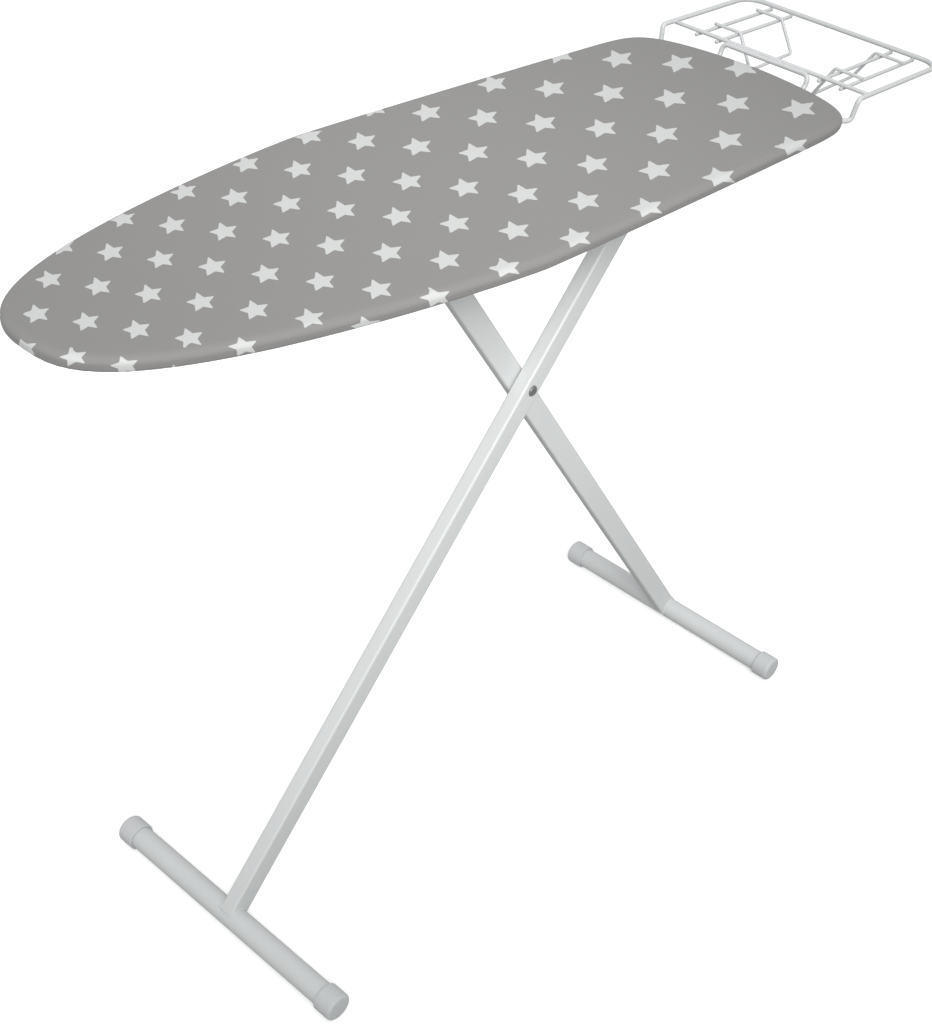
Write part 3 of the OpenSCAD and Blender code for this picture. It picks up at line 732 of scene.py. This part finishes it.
def build_cover():
    rows = cover_section()
    verts, flat = [], []
    run = 0.0
    last = None
    index = []
    for off, dz, kind in rows:
        if last is not None:
            run += math.hypot(off - last[0], dz - last[1])
        last = (off, dz)
        ring = []
        for i in range(N_OUT):
            g = gather_amount(i)
            ph = PHASE[i]
            o, z = off, dz
            fx = fy = 0.0
            wave = math.sin(ph) + 0.35 * math.sin(2 * ph + 1.3)
            jag = noise.noise(Vector((ARC[i] * 0.06, dz * 0.2 + off * 0.05, GATHER_SEED)))
            if kind == "shoulder":
                t = min(1.0, (off + A_SH) / A_SH)
                z += bowl(-off) * (1 - t)
            if kind == "side":
                o += 0.12 * g * wave + 0.18 * jag
            if kind == "turn":
                k = (dz - (SURF - Z_HEM - R_BT)) / R_BT
                o += 0.35 * g * wave * k + 0.18 * jag
                z += 0.35 * max(0.0, g * wave) * k
            if kind in ("hem", "case"):
                k = min(1.0, (-off - 3) / 22.0)
                lift = (0.35 + 1.9 * g) * (0.5 + 0.5 * wave) * k
                if OUT[i][0] > X_HEEL - 90:   # the rest's wires press the hem up
                    lift *= min(1.0, 0.25 + min(abs(abs(OUT[i][1]) - abs(w)) for w in WIRE_Y) / 26.0)
                z += max(0.0, min(3.2, lift)) + 0.25 * max(0.0, jag)
            p = OUT[i] + NOR[i] * o
            verts.append((p[0] * MM, p[1] * MM, (SURF - z) * MM))
            f = OUT[i] + NOR[i] * (rows[0][0] + run)
            flat.append((f[0], f[1], 0.0))
            ring.append(len(verts) - 1)
        index.append(ring)
    faces = []
    for a, b in zip(index[:-1], index[1:]):
        for i in range(N_OUT):
            j = (i + 1) % N_OUT
            faces.append((a[i], a[j], b[j], b[i]))
    # flat top: an even field of points, joined to the first ring
    ring0 = index[0]
    pts2 = [Vector((verts[i][0] / MM, verts[i][1] / MM)) for i in ring0]
    step = 9.0
    extra = []
    y_rows = int(HALF_W / (step * 0.866)) + 1
    for r in range(-y_rows, y_rows + 1):
        y = r * step * 0.866
        for c in range(int(BOARD_LEN / step) + 2):
            x = X_NOSE + c * step + (step / 2 if r % 2 else 0)
            s = x - X_NOSE
            if s <= 4 or s >= BOARD_LEN - 4:
                continue
            if half_at(s) - abs(y) < 3:
                continue
            if inside_dist(x, y) > A_SH + step * 0.62:
                extra.append(Vector((x, y)))
    allp = pts2 + extra
    edges = [(i, (i + 1) % N_OUT) for i in range(N_OUT)]
    vo, _, fo, ov, _, _ = delaunay_2d_cdt(allp, edges, [], 1, 1e-4)
    remap = {}
    for k, src in enumerate(ov):
        if src and src[0] < N_OUT:
            remap[k] = ring0[src[0]]
        else:
            x, y = vo[k]
            d = inside_dist(x, y)
            z = SURF - bowl(d) + ripple(x, y) * min(1.0, max(0.0, (d - A_SH) / 25.0))
            verts.append((x * MM, y * MM, z * MM))
            flat.append((x, y, 0.0))
            remap[k] = len(verts) - 1
    top = [tuple(remap[k] for k in f) for f in fo]
    faces = top + faces
    ob = add_mesh("cover_cloth", verts, faces)
    at = ob.data.attributes.new("flat_mm", "FLOAT_VECTOR", "POINT")
    at.data.foreach_set("vector", np.array(flat, np.float32).ravel())
    # the printed lattice, laid out on the flat cloth; over the near edge it runs on along the line of sight
    H = np.array([[12.61939, -12.87314, 7.77904], [10.5928, 7.15535, 6.12147], [0.41678, 0.02746, 1.0]])
    q = np.array(flat) * MM
    eye = np.array([-1.3090, -1.0489, 1.6160])
    run_on, q_store, last_j = {}, [], 0
    for j, ring in enumerate(index):
        kind = rows[j][2]
        for i in range(N_OUT):
            v = ring[i]
            P = np.array([OUT[i][0] + NOR[i][0] * rows[j][0], OUT[i][1] + NOR[i][1] * rows[j][0], SURF - rows[j][1]]) * MM
            hor = unit(eye[:2] - P[:2])
            t = min(1.0, max(0.0, (float(NOR[i] @ hor) + 0.15) / 0.5))
            t = t * t * (3 - 2 * t)
            if kind in ("shoulder", "side", "turn"):
                k = (eye[2] - SURF * MM) / (eye[2] - P[2])
                Q = eye[:2] + (P[:2] - eye[:2]) * k
                run_on[i] = Q
                last_j = j
            else:
                Q = run_on[i] + NOR[i] * (np.linalg.norm(q[v][:2] - q[index[last_j][i]][:2]))
            q_new = q[v][:2] * (1 - t) + Q * t
            q_store.append((v, q_new))
    for v, qn in q_store:
        q[v][:2] = qn
    w = np.stack([q[:, 0], q[:, 1], np.ones(len(q))], 1) @ H.T
    ij = np.stack([w[:, 0] / w[:, 2], w[:, 1] / w[:, 2], np.zeros(len(q))], 1)
    at = ob.data.attributes.new("print_ij", "FLOAT_VECTOR", "POINT")
    at.data.foreach_set("vector", ij.astype(np.float32).ravel())
    bm = bmesh.new()
    bm.from_mesh(ob.data)
    bmesh.ops.recalc_face_normals(bm, faces=bm.faces)
    up = sum((f.normal.z for f in bm.faces if f.calc_center_median().z > (SURF - 3) * MM))
    if up < 0:
        bmesh.ops.reverse_faces(bm, faces=bm.faces)
    bm.to_mesh(ob.data)
    bm.free()
    return ob, run + 0.0


cover, CLOTH_RUN = build_cover()
sol = cover.modifiers.new("thickness", "SOLIDIFY")
sol.thickness = COVER_T * MM
sol.offset = -1.0
sub = cover.modifiers.new("smooth", "SUBSURF")
sub.levels = 1
sub.render_levels = 1
finish_piece(cover, M_COVER, "board", "cover_cloth", "cover")


# ------------------------------------------------------------------ elastic in the hem
def build_elastic():
    n = 1040
    o, nr, cv, per = outline_points(n)
    side_h = SURF - Z_HEM
    pts = []
    for i in range(n):
        p = o[i] - nr[i] * 29.7
        ph = np.interp(i * per / n, ARC, PHASE)
        g = min(1.0, cv[i] * 95.0)
        z = SURF - side_h + 0.2 - (0.35 + 1.9 * g) * (0.5 + 0.5 * math.sin(ph)) * 0.9
        if o[i][0] > X_HEEL - 90:
            z = SURF - side_h + 0.1
        pts.append((p[0], p[1], z))
    strands = 3
    v, f = sweep(pts, 1.25, n=15, closed=True,
                 scale=lambda i, k: 1 + 0.13 * math.cos(strands * (2 * math.pi * k / 15 - i * 0.42)))
    ob = add_mesh("hem_elastic_cord", v, f)
    # mask for painted shade: 1 on the strand crowns, 0 in the grooves between them, the same wave as the radius bulge
    at = ob.data.attributes.new("strand_groove_shade", "FLOAT", "POINT")
    at.data.foreach_set("value", np.array([0.5 + 0.5 * math.cos(strands * (2 * math.pi * k / 15 - i * 0.42))
                                           for i in range(n) for k in range(15)], np.float32))
    return ob


elastic = finish_piece(build_elastic(), M_ELASTIC, "board", "cover_cloth", "hem_elastic")


# ------------------------------------------------------------------ felt pad
def build_felt():
    n = 360
    o, nr, cv, per = outline_points(n)
    prof = []
    for k in range(9):   # rounded upper edge, under the cloth
        z = Z_FELT1 - 0.2 - (Z_FELT1 - 0.2 - Z_FELT0) * (k / 8) ** 1.3
        depth = SURF - z
        prof.append((-A_SH + (A_SH - 1.7) * math.sqrt(1 - (max(0.0, B_SH - depth) / B_SH) ** 2) - 0.1, z))
    verts, rings = [], []
    for off, z in prof:
        ring = []
        for i in range(n):
            p = o[i] + nr[i] * off
            w = 0.12 * noise.noise(Vector((p[0] * 0.05, p[1] * 0.05, z * 0.2)))
            verts.append((p[0] * MM, p[1] * MM, (z + (w if z < Z_FELT1 - 0.5 and z > Z_FELT0 + 0.3 else 0)) * MM))
            ring.append(len(verts) - 1)
        rings.append(ring)
    faces = []
    for a, b in zip(rings[:-1], rings[1:]):
        for i in range(n):
            j = (i + 1) % n
            faces.append((a[i], a[j], b[j], b[i]))

    def fill(ring, zf, flip):
        step = 14.0
        pts = [Vector((verts[i][0] / MM, verts[i][1] / MM)) for i in ring]
        ext = []
        for r in range(-15, 16):
            y = r * step * 0.866
            for c in range(int(BOARD_LEN / step) + 2):
                x = X_NOSE + c * step + (step / 2 if r % 2 else 0)
                if 4 < x - X_NOSE < BOARD_LEN - 4 and inside_dist(x, y) > 18:
                    if half_at(x - X_NOSE) > abs(y):
                        ext.append(Vector((x, y)))
        m = len(ring)
        vo, _, fo, ov, _, _ = delaunay_2d_cdt(pts + ext, [(i, (i + 1) % m) for i in range(m)], [], 1, 1e-4)
        mp = {}
        for k, src in enumerate(ov):
            if src and src[0] < m:
                mp[k] = ring[src[0]]
            else:
                x, y = vo[k]
                verts.append((x * MM, y * MM, zf(x, y) * MM))
                mp[k] = len(verts) - 1
        return [tuple(mp[k] for k in (f[::-1] if flip else f)) for f in fo]

    faces += fill(rings[0], lambda x, y: Z_FELT1 - 0.2 + min(0.0, ripple(x, y)) * 0.8 - bowl(inside_dist(x, y)), False)
    faces += fill(rings[-1], lambda x, y: Z_FELT0, True)
    ob = add_mesh("felt_pad_soft", verts, faces)
    tidy(ob)
    ob.data.shade_smooth()
    return ob


felt = finish_piece(build_felt(), M_FELT, "board", "felt", "felt_pad")


# ------------------------------------------------------------------ legs
def leg_axes(pivot, foot):
    d = unit(np.array([foot.x - pivot.x, 0, foot.z - pivot.z]))
    return d, np.array([-d[2], 0, d[0]])


LEG_LEN = (F_A - P_A).length
TW, WALL, RC = 30.0, 1.2, 3.0


def rounded_rect(w, h, r, seg=7):
    pts = []
    for cx, cy, a0 in ((w / 2 - r, h / 2 - r, 0), (-w / 2 + r, h / 2 - r, 90), (-w / 2 + r, -h / 2 + r, 180), (w / 2 - r, -h / 2 + r, 270)):
        for k in range(seg + 1):
            a = math.radians(a0 + 90 * k / seg)
            pts.append((cx + r * math.cos(a), cy + r * math.sin(a)))
    # split the flats so that the saddle cut follows the foot
    out = []
    for a, b in zip(pts, pts[1:] + pts[:1]):
        out.append(a)
        n = int(math.hypot(b[0] - a[0], b[1] - a[1]) / 3.0)
        for k in range(1, n):
            out.append((a[0] + (b[0] - a[0]) * k / n, a[1] + (b[1] - a[1]) * k / n))
    return out


def leg_tube(name, pivot, foot, y0, TT):
    """A rounded oblong tube from above the pivot to the foot, cut to sit on the round foot tube."""
    d, e = leg_axes(pivot, foot)
    o = np.array([pivot.x, y0 + TT / 2, pivot.z])
    outer = rounded_rect(TW, TT, RC)
    inner = rounded_rect(TW - 2 * WALL, TT - 2 * WALL, RC - WALL)
    st = [-12.0, -11.6] + list(np.arange(0, LEG_LEN - 20, 26.0))
    verts, faces = [], []

    def put(sec, l, shrink=0.0):
        out = []
        for a, b in sec:
            end = LEG_LEN - math.sqrt(max(0.0, FOOT_R ** 2 - a * a)) + 0.25
            ll = end if l is None else min(l, end)
            sc = 1 - shrink
            out.append(o + d * ll + e * (a * sc) + np.array([0, b * sc, 0]))
        verts.extend(out)
        return len(out)

    m = len(outer)
    for i, l in enumerate(st):
        put(outer, l, 0.025 if i == 0 else 0.0)
    put(outer, None)
    cnt = len(st) + 1
    for i in range(cnt - 1):
        for k in range(m):
            k2 = (k + 1) % m
            faces.append((i * m + k, i * m + k2, (i + 1) * m + k2, (i + 1) * m + k))
    # inside, from the open top down a little way, then closed by a plug
    base = len(verts)
    mi = len(inner)
    for l in (-12.0, -8.0, 30.0):
        put(inner, l)
    for i in range(2):
        for k in range(mi):
            k2 = (k + 1) % mi
            faces.append((base + i * mi + k2, base + i * mi + k, base + (i + 1) * mi + k, base + (i + 1) * mi + k2))
    faces.append(tuple(base + 2 * mi + k for k in range(mi)))
    # rim between the outer and inner walls
    rim_o, rim_i = list(range(m)), [base + k for k in range(mi)]
    bm = bmesh.new()
    vs = [bm.verts.new(tuple(v * MM)) for v in verts]
    for f in faces:
        bm.faces.new([vs[i] for i in f])
    ao = [math.atan2(b, a) for a, b in outer]
    ai = [math.atan2(b, a) for a, b in inner]
    i = j = 0
    so = min(range(m), key=lambda k: ao[k] % (2 * math.pi))
    si = min(range(mi), key=lambda k: ai[k] % (2 * math.pi))
    while i < m or j < mi:
        a0, a1 = rim_o[(so + i) % m], rim_o[(so + i + 1) % m]
        b0, b1 = rim_i[(si + j) % mi], rim_i[(si + j + 1) % mi]
        na = (ao[(so + i + 1) % m] % (2 * math.pi)) if i + 1 < m else 9
        nb = (ai[(si + j + 1) % mi] % (2 * math.pi)) if j + 1 < mi else 9
        if i < m and (na <= nb or j >= mi):
            bm.faces.new([vs[a0], vs[a1], vs[b0]][::-1])
            i += 1
        else:
            bm.faces.new([vs[a0], vs[b1], vs[b0]][::-1])
            j += 1
    bmesh.ops.recalc_face_normals(bm, faces=bm.faces)
    me = bpy.data.meshes.new(name)
    bm.to_mesh(me)
    bm.free()
    ob = bpy.data.objects.new(name, me)
    scene.collection.objects.link(ob)
    me.shade_smooth()
    me.set_sharp_from_angle(angle=math.radians(40))
    return ob


def weld_seam(pivot, foot, y0, TT, seed):
    """The fillet weld round the leg where it meets the foot tube."""
    d, e = leg_axes(pivot, foot)
    o = np.array([pivot.x, y0 + TT / 2, pivot.z])
    sec = rounded_rect(TW - 0.4, TT + 0.6, RC, 6)
    pts = []
    for a, b in sec:
        aa = max(-14.4, min(14.4, a))
        l = LEG_LEN - math.sqrt(max(0.0, FOOT_R ** 2 - aa * aa)) - 0.1
        pts.append(o + d * l + e * a + np.array([0, b, 0]))
    pts.append(pts[0])
    pts = densify(pts, 1.1)[:-1]
    n = 12
    return sweep(pts, 1.5, n=n, closed=True, up=tuple(-d),
                 scale=lambda i, k: 1 + 0.05 * math.sin(i * 2.2) + 0.10 * noise.noise(Vector((i * 0.21, k * 0.3, seed))))


for tag, piv, foot in (("a", P_A, F_A), ("b", P_B, F_B)):
    body = "leg_" + tag
    lo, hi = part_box(f"leg_{tag}_tube")
    y0, thick = lo.y / MM, (hi.y - lo.y) / MM
    lo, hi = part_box(f"foot_{tag}_tube")
    mid = (lo.y + hi.y) / 2 / MM
    leg = leg_tube(f"leg_{tag}_tube_painted", piv, foot, y0, thick)
    finish_piece(leg, M_TUBE, body, "painted_tube", f"leg_{tag}_tube")
    w = add_mesh(f"leg_{tag}_weld", *weld_seam(piv, foot, y0, thick, 5.0 + y0))
    finish_piece(w, M_TUBE, body, "painted_tube")

    # foot tube: rolled ends, wall showing inside
    prof = []
    L = FOOT_HALF
    prof += [(FOOT_R - WALL, -L + 0.4), (FOOT_R - WALL + 0.4, -L), (FOOT_R - 0.5, -L), (FOOT_R, -L + 0.5)]
    prof += [(FOOT_R, y) for y in np.linspace(-L + 6, L - 6, 33)]
    prof += [(FOOT_R, L - 0.5), (FOOT_R - 0.5, L), (FOOT_R - WALL + 0.4, L), (FOOT_R - WALL, L - 0.4)]
    v, f = lathe(prof, 96, (foot.x, mid, foot.z), (0, 1, 0), (0, 0, 1))
    ft = add_mesh(f"foot_{tag}_tube_painted", v, f, sharp=50)
    tidy(ft)
    finish_piece(ft, M_TUBE, body, "painted_tube", f"foot_{tag}_tube")

    for side, s in (("left", 1), ("right", -1)):
        lo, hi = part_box(f"foot_{tag}_cap_{side}")
        root = (lo.y if s > 0 else hi.y) / MM
        prof = [(FOOT_R + 0.08, 3.0), (FOOT_R + 0.08, 0.5), (FOOT_R + 0.5, 0.05), (CAP_R - 1.5, 0.0)]
        prof += [(CAP_R - 0.9 + 0.9 * math.sin(math.radians(a)), 0.9 - 0.9 * math.cos(math.radians(a))) for a in (25, 50, 75, 90)]
        prof += [(CAP_R, 5.0), (CAP_R, 12.0), (CAP_R - 0.02, CAP_LEN - 7.0)]
        rr = 4.2
        prof += [(CAP_R - rr + rr * math.cos(math.radians(a)) - 0.02, CAP_LEN - 0.35 - rr + rr * math.sin(math.radians(a)))
                 for a in (0, 10, 20, 30, 40, 50, 60, 70, 80, 90)]
        prof += [(CAP_R - rr - 2.2, CAP_LEN - 0.28), (CAP_R - rr - 5, CAP_LEN - 0.12), (4.0, CAP_LEN), (0.6, CAP_LEN), (0.0, CAP_LEN)]
        prof += [(0.0, CAP_LEN - 3.6), (FOOT_R - 2, CAP_LEN - 3.6), (FOOT_R + 0.08, CAP_LEN - 4.4)]
        v, f = lathe(prof, 96, (foot.x, root, foot.z), (0, s, 0), (0, 0, 1))
        v = [np.array([p[0], p[1], max(p[2], 0.0)]) for p in v]
        cap = add_mesh(f"foot_{tag}_cap_{side}_moulded", v, f)
        tidy(cap)
        cap.data.shade_smooth()
        cap.data.set_sharp_from_angle(angle=math.radians(55))
        finish_piece(cap, M_CAP, body, "cap_plastic", f"foot_{tag}_cap_{side}")


# ------------------------------------------------------------------ iron rest
WIRE_R, THIN_R, RUNG_R, CROSS_R = 3.0, 2.25, 2.0, 2.5
Z_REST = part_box("rest_outer_frame")[1].z / MM - WIRE_R
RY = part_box("rest_outer_frame")[1].y / MM - WIRE_R
Z_WIRE = Z_HEM - WIRE_R - 1.5
X_REAR = 365.0
X_CROSS = X_HEEL + 21
X_SUPP = X_CROSS - 5.25
Z_CROSS, Z_SUPP = Z_REST - 0.5, Z_REST - 2.5
half = bent([[X_REAR - 22, 114, Z_WIRE], [X_REAR + 20, 114, Z_WIRE], [X_HEEL - 5, RY - 3, Z_WIRE], [X_HEEL - 2, RY, Z_REST],
             [X_END - WIRE_R, RY, Z_REST], [X_END - WIRE_R, 0, Z_REST]], [9, 6, 6, 26], 14)
mirror = lambda pts: [np.array([p[0], -p[1], p[2]]) for p in pts]
full = half[:-1] + [half[-1]] + mirror(half[:-1])[::-1]
frame_wire = add_mesh("rest_frame_wire", *sweep(densify(full, 14), WIRE_R, n=24))
finish_piece(frame_wire, M_WIRE, "board", "painted_wire", "rest_outer_frame")

cross = add_mesh("rest_cross_wire_painted", *sweep(densify([[X_CROSS, -RY + 3.02, Z_CROSS], [X_CROSS, RY - 3.02, Z_CROSS]], 14), CROSS_R, n=20))
finish_piece(cross, M_WIRE, "board", "painted_wire", "rest_cross_wire")

half = bent([[X_REAR - 22, 62, Z_WIRE], [X_CROSS - 19, 62, Z_WIRE], [X_SUPP - 3.5, 63, Z_WIRE + 13], [X_SUPP, 63, Z_SUPP],
             [X_SUPP, 0, Z_SUPP]], 7, 12)
full = half[:-1] + mirror(half[:-1])[::-1]
supp = add_mesh("rest_support_wire_painted", *sweep(densify(full, 14), WIRE_R, n=24))
finish_piece(supp, M_WIRE, "board", "painted_wire", "rest_support_wire")

Z_LAD = Z_REST - WIRE_R - THIN_R - 0.1
LADDERS = (("left_outer", 107), ("left_inner", 76), ("right_inner", -76), ("right_outer", -107))
for tag, y in LADDERS:
    path = [[X_CROSS - 3.5, y, Z_LAD], [X_CROSS + 4, y, Z_LAD], [X_END - 10, y, Z_LAD], [X_END - WIRE_R, y, Z_LAD]]
    ob = add_mesh(f"ladder_wire_{tag}_painted", *sweep(densify(path, 10), THIN_R, n=18, up=(0.02, 1, 0.03)))
    finish_piece(ob, M_WIRE, "board", "painted_wire", f"ladder_wire_{tag}")

Z_RUNG = Z_LAD + THIN_R + RUNG_R + 0.1
X_R1, X_R2 = X_HEEL + 62, X_HEEL + 154
loop_pts = bent([[X_R1, 110.5, Z_RUNG], [X_R1, 71, Z_RUNG], [X_R1, 47, SURF - 35], [X_R2, 47, SURF - 32],
                 [X_R2, 71, Z_RUNG], [X_R2, 110.5, Z_RUNG]], 4, 10)
for tag, s in (("left", 1), ("right", -1)):
    path = [np.array([p[0], s * p[1], p[2]]) for p in loop_pts]
    ob = add_mesh(f"rest_loop_{tag}_painted", *sweep(densify(path, 8), RUNG_R, n=18, up=(0.3, 0.05, 1)))
    finish_piece(ob, M_WIRE, "board", "painted_wire", f"rest_loop_{tag}")

# resistance welds where the wires cross
parts, seed = [], 1
for tag, y in LADDERS:
    seed += 1
    parts.append(blob((X_CROSS, y, Z_LAD + THIN_R), 2.4, seed, squash=(1.05, 1.05, 0.5)))
    parts.append(blob((X_END - WIRE_R - 0.4, y, Z_LAD + THIN_R), 2.5, seed + 40, squash=(1.1, 1.05, 0.5)))
    for x in (X_R1, X_R2):
        parts.append(blob((x, y, Z_LAD + THIN_R), 2.1, seed + x, squash=(1.05, 1.0, 0.5)))
for s in (1, -1):
    parts.append(blob((X_CROSS, s * (RY - 3.2), Z_CROSS), 3.0, 70 + s, squash=(1, 0.45, 1)))
for y in (-50, -18, 18, 50):
    parts.append(blob((X_CROSS - 2.6, y, Z_REST - 1.3), 2.5, 90 + y, squash=(0.5, 1.6, 0.8)))
welds = join_parts("rest_welds", parts)
tidy(welds)
welds.data.shade_smooth()
finish_piece(welds, M_WIRE, "board", "painted_wire")


# ------------------------------------------------------------------ release lever
lo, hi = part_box("lever_grip")
LX, LZ = (lo.x + hi.x) / 2 / MM, (lo.z + hi.z) / 2 / MM
LY0, LY1 = lo.y / MM, hi.y / MM
GX, GZ = (hi.x - lo.x) / 2 / MM, (hi.z - lo.z) / 2 / MM


def build_grip():
    """A moulded finger grip: rounded outer end, shallow finger hollows below, fine ribs above."""
    n, st = 96, 26
    verts, faces = [], []
    for j in range(st + 1):
        t = j / st
        y = LY0 + (LY1 - LY0) * t
        edge = min(t / 0.06, (1 - t) / 0.22, 1.0)
        sc = 1 - 0.35 * (1 - math.sqrt(max(0.0, 1 - (1 - edge) ** 2))) if edge < 1 else 1.0
        for k in range(n):
            a = 2 * math.pi * k / n
            c, s = math.cos(a), math.sin(a)
            x = (GX - 0.15) * math.copysign(abs(c) ** 0.42, c)
            z = (GZ - 0.35) * math.copysign(abs(s) ** 0.7, s)
            if s < 0:   # finger hollows
                z *= 1 - 0.16 * (0.5 + 0.5 * math.cos(x / GX * 3 * math.pi)) * min(1.0, abs(s) * 1.5)
            if s > 0.25 and 0.1 < t < 0.8:
                z += 0.28 * max(0.0, math.cos(y * 2 * math.pi / 3.0)) * min(1.0, (s - 0.25) * 3) * (1 if abs(x) < GX * 0.8 else 0)
            verts.append(np.array([LX + x * (1 - (1 - sc) * 0.25), y, LZ + z * sc]) * MM)
    for j in range(st):
        for k in range(n):
            k2 = (k + 1) % n
            faces.append((j * n + k, j * n + k2, (j + 1) * n + k2, (j + 1) * n + k))
    faces.append(tuple(range(n))[::-1])
    faces.append(tuple(st * n + k for k in range(n)))
    ob = add_mesh("lever_grip_moulded", verts, faces, sharp=45)
    tidy(ob)
    return ob


finish_piece(build_grip(), M_GRIP, "release_lever", "cap_plastic", "lever_grip")

lo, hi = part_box("lever_spring")
SZ0, SZ1 = lo.z / MM, hi.z / MM
z_plate, z_rail = SZ0 + 2.5, SZ1 - 28 + 0.0


def build_spring():
    lo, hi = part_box("lever_spring")
    zb, zt = lo.z / MM, hi.z / MM
    h = zt - zb
    r, turns = 3.4, 8
    c0, c1 = zb + 6.5, zt - 7.5
    pts = [(0, 0, zb + 0.0), (0, 0, zb + 3.5), (0, 0, zb + 4.9), (r * 0.6, 0, zb + 5.9)]
    m = turns * 28
    for k in range(m + 1):
        a = 2 * math.pi * turns * k / m
        pts.append((r * math.cos(a), r * math.sin(a), c0 + (c1 - c0) * k / m))
    pts += [(r * 0.6, 0, c1 + 0.8), (0, 0, c1 + 1.8), (0, 0, c1 + 3.4), (0, 0, zt)]
    cx, cy = (lo.x + hi.x) / 2 / MM, (lo.y + hi.y) / 2 / MM
    pts = [(p[0] + cx, p[1] + cy, p[2]) for p in pts]
    return add_mesh("lever_spring_wound", *sweep(pts, 0.55, n=12, up=(0.3, 1, 0.1)))


finish_piece(build_spring(), M_STEEL, "board", "bright_steel", "lever_spring")


# ------------------------------------------------------------------ floor, light, camera
def build_stage():
    v = [(-14, -14, 0), (16, -14, 0), (16, 18, 0), (-14, 18, 0)]
    ob = add_mesh("floor", [(a, b, -0.0004) for a, b, _ in v], [(0, 1, 2, 3)])
    m, nt, bs = new_mat("floor_paint")
    g = G(nt)
    n = g.noise(g.obj(), 3.0, 3.0, 0.5)
    g.put(bs, "Base Color", g.mix(n, grey(0.93), grey(0.96)))
    bs.inputs["Roughness"].default_value = 0.9
    bs.inputs["Emission Color"].default_value = (1, 1, 1, 1)
    bs.inputs["Emission Strength"].default_value = 0.36
    ob.data.materials.append(m)
    ob.visible_diffuse = False
    ob.visible_glossy = False
    return ob


build_stage()

world = bpy.data.worlds.new("studio")
scene.world = world
world.use_nodes = True
wt = world.node_tree
wt.nodes.clear()
wo = wt.nodes.new("ShaderNodeOutputWorld")
bg = wt.nodes.new("ShaderNodeBackground")
wt.links.new(bg.outputs[0], wo.inputs[0])
gw = G(wt)
sepw = gw.n("ShaderNodeSeparateXYZ")
gw.put(sepw, 0, gw.n("ShaderNodeTexCoord").outputs["Generated"])
gw.put(bg, "Color", gw.mix(gw.ramp(sepw.outputs[2], -0.25, 0.25, smooth=True), (0.37, 0.375, 0.375, 1), (0.66, 0.665, 0.67, 1)))
bg.inputs["Strength"].default_value = 1.0

# one large soft head from the front, aimed at the upper half, so the feet fall off a little
key = bpy.data.lights.new("key", "SPOT")
key.spot_size = math.radians(28.6)
key.spot_blend = 1.0
key.shadow_soft_size = 0.75
key.energy = 1.16 * 4 * math.pi * math.pi * 3.5 ** 2
key.color = (1.0, 0.998, 0.994)
ko = bpy.data.objects.new("key", key)
scene.collection.objects.link(ko)
aim = Vector((0.09, 0.0, 0.68))
from_dir = Vector((-0.535, -0.611, 0.585)).normalized()
ko.location = aim + from_dir * 3.5
ko.rotation_euler = from_dir.to_track_quat("Z", "Y").to_euler()

# a gentle head over the nose end, from the front
fill = bpy.data.lights.new("nose_fill", "SPOT")
fill.spot_size = math.radians(14)
fill.spot_blend = 1.0
fill.shadow_soft_size = 0.6
fill.energy = 1.15 * 4 * math.pi * math.pi * 3.2 ** 2
fo = bpy.data.objects.new("nose_fill", fill)
scene.collection.objects.link(fo)
fill_dir = Vector((-0.60, -0.62, 0.50)).normalized()
fo.location = Vector((-0.50, -0.08, 0.93)) + fill_dir * 3.2
fo.rotation_euler = fill_dir.to_track_quat("Z", "Y").to_euler()

# a weak overhead sun: the near halves of the feet stick out of the board's shadow
top = bpy.data.lights.new("overhead", "SUN")
top.energy = 0.08 * math.pi
top.angle = math.radians(9)
to = bpy.data.objects.new("overhead", top)
scene.collection.objects.link(to)
to.rotation_euler = Vector((-0.30, -0.22, 1.0)).to_track_quat("Z", "Y").to_euler()

cam = bpy.data.cameras.new("camera")
co = bpy.data.objects.new("camera", cam)
scene.collection.objects.link(co)
az, el, ro = -0.8836, 0.6369, 0.1097
fw = Vector((-math.sin(az) * math.cos(el), math.cos(az) * math.cos(el), -math.sin(el)))
rt = fw.cross(Vector((0, 0, 1))).normalized()
up = rt.cross(fw)
right = rt * math.cos(ro) + up * math.sin(ro)
upv = -rt * math.sin(ro) + up * math.cos(ro)
mat = Matrix((right, upv, -fw)).transposed().to_4x4()
mat.translation = Vector((-1.3090, -1.0489, 1.6160))
co.matrix_world = mat
cam.sensor_width = 36
cam.lens = 59.2445
cam.shift_x = 0.0070
cam.shift_y = 0.0357
cam.clip_start = 0.05
cam.clip_end = 60
scene.camera = co

scene.view_settings.view_transform = "Standard"
scene.view_settings.look = "None"
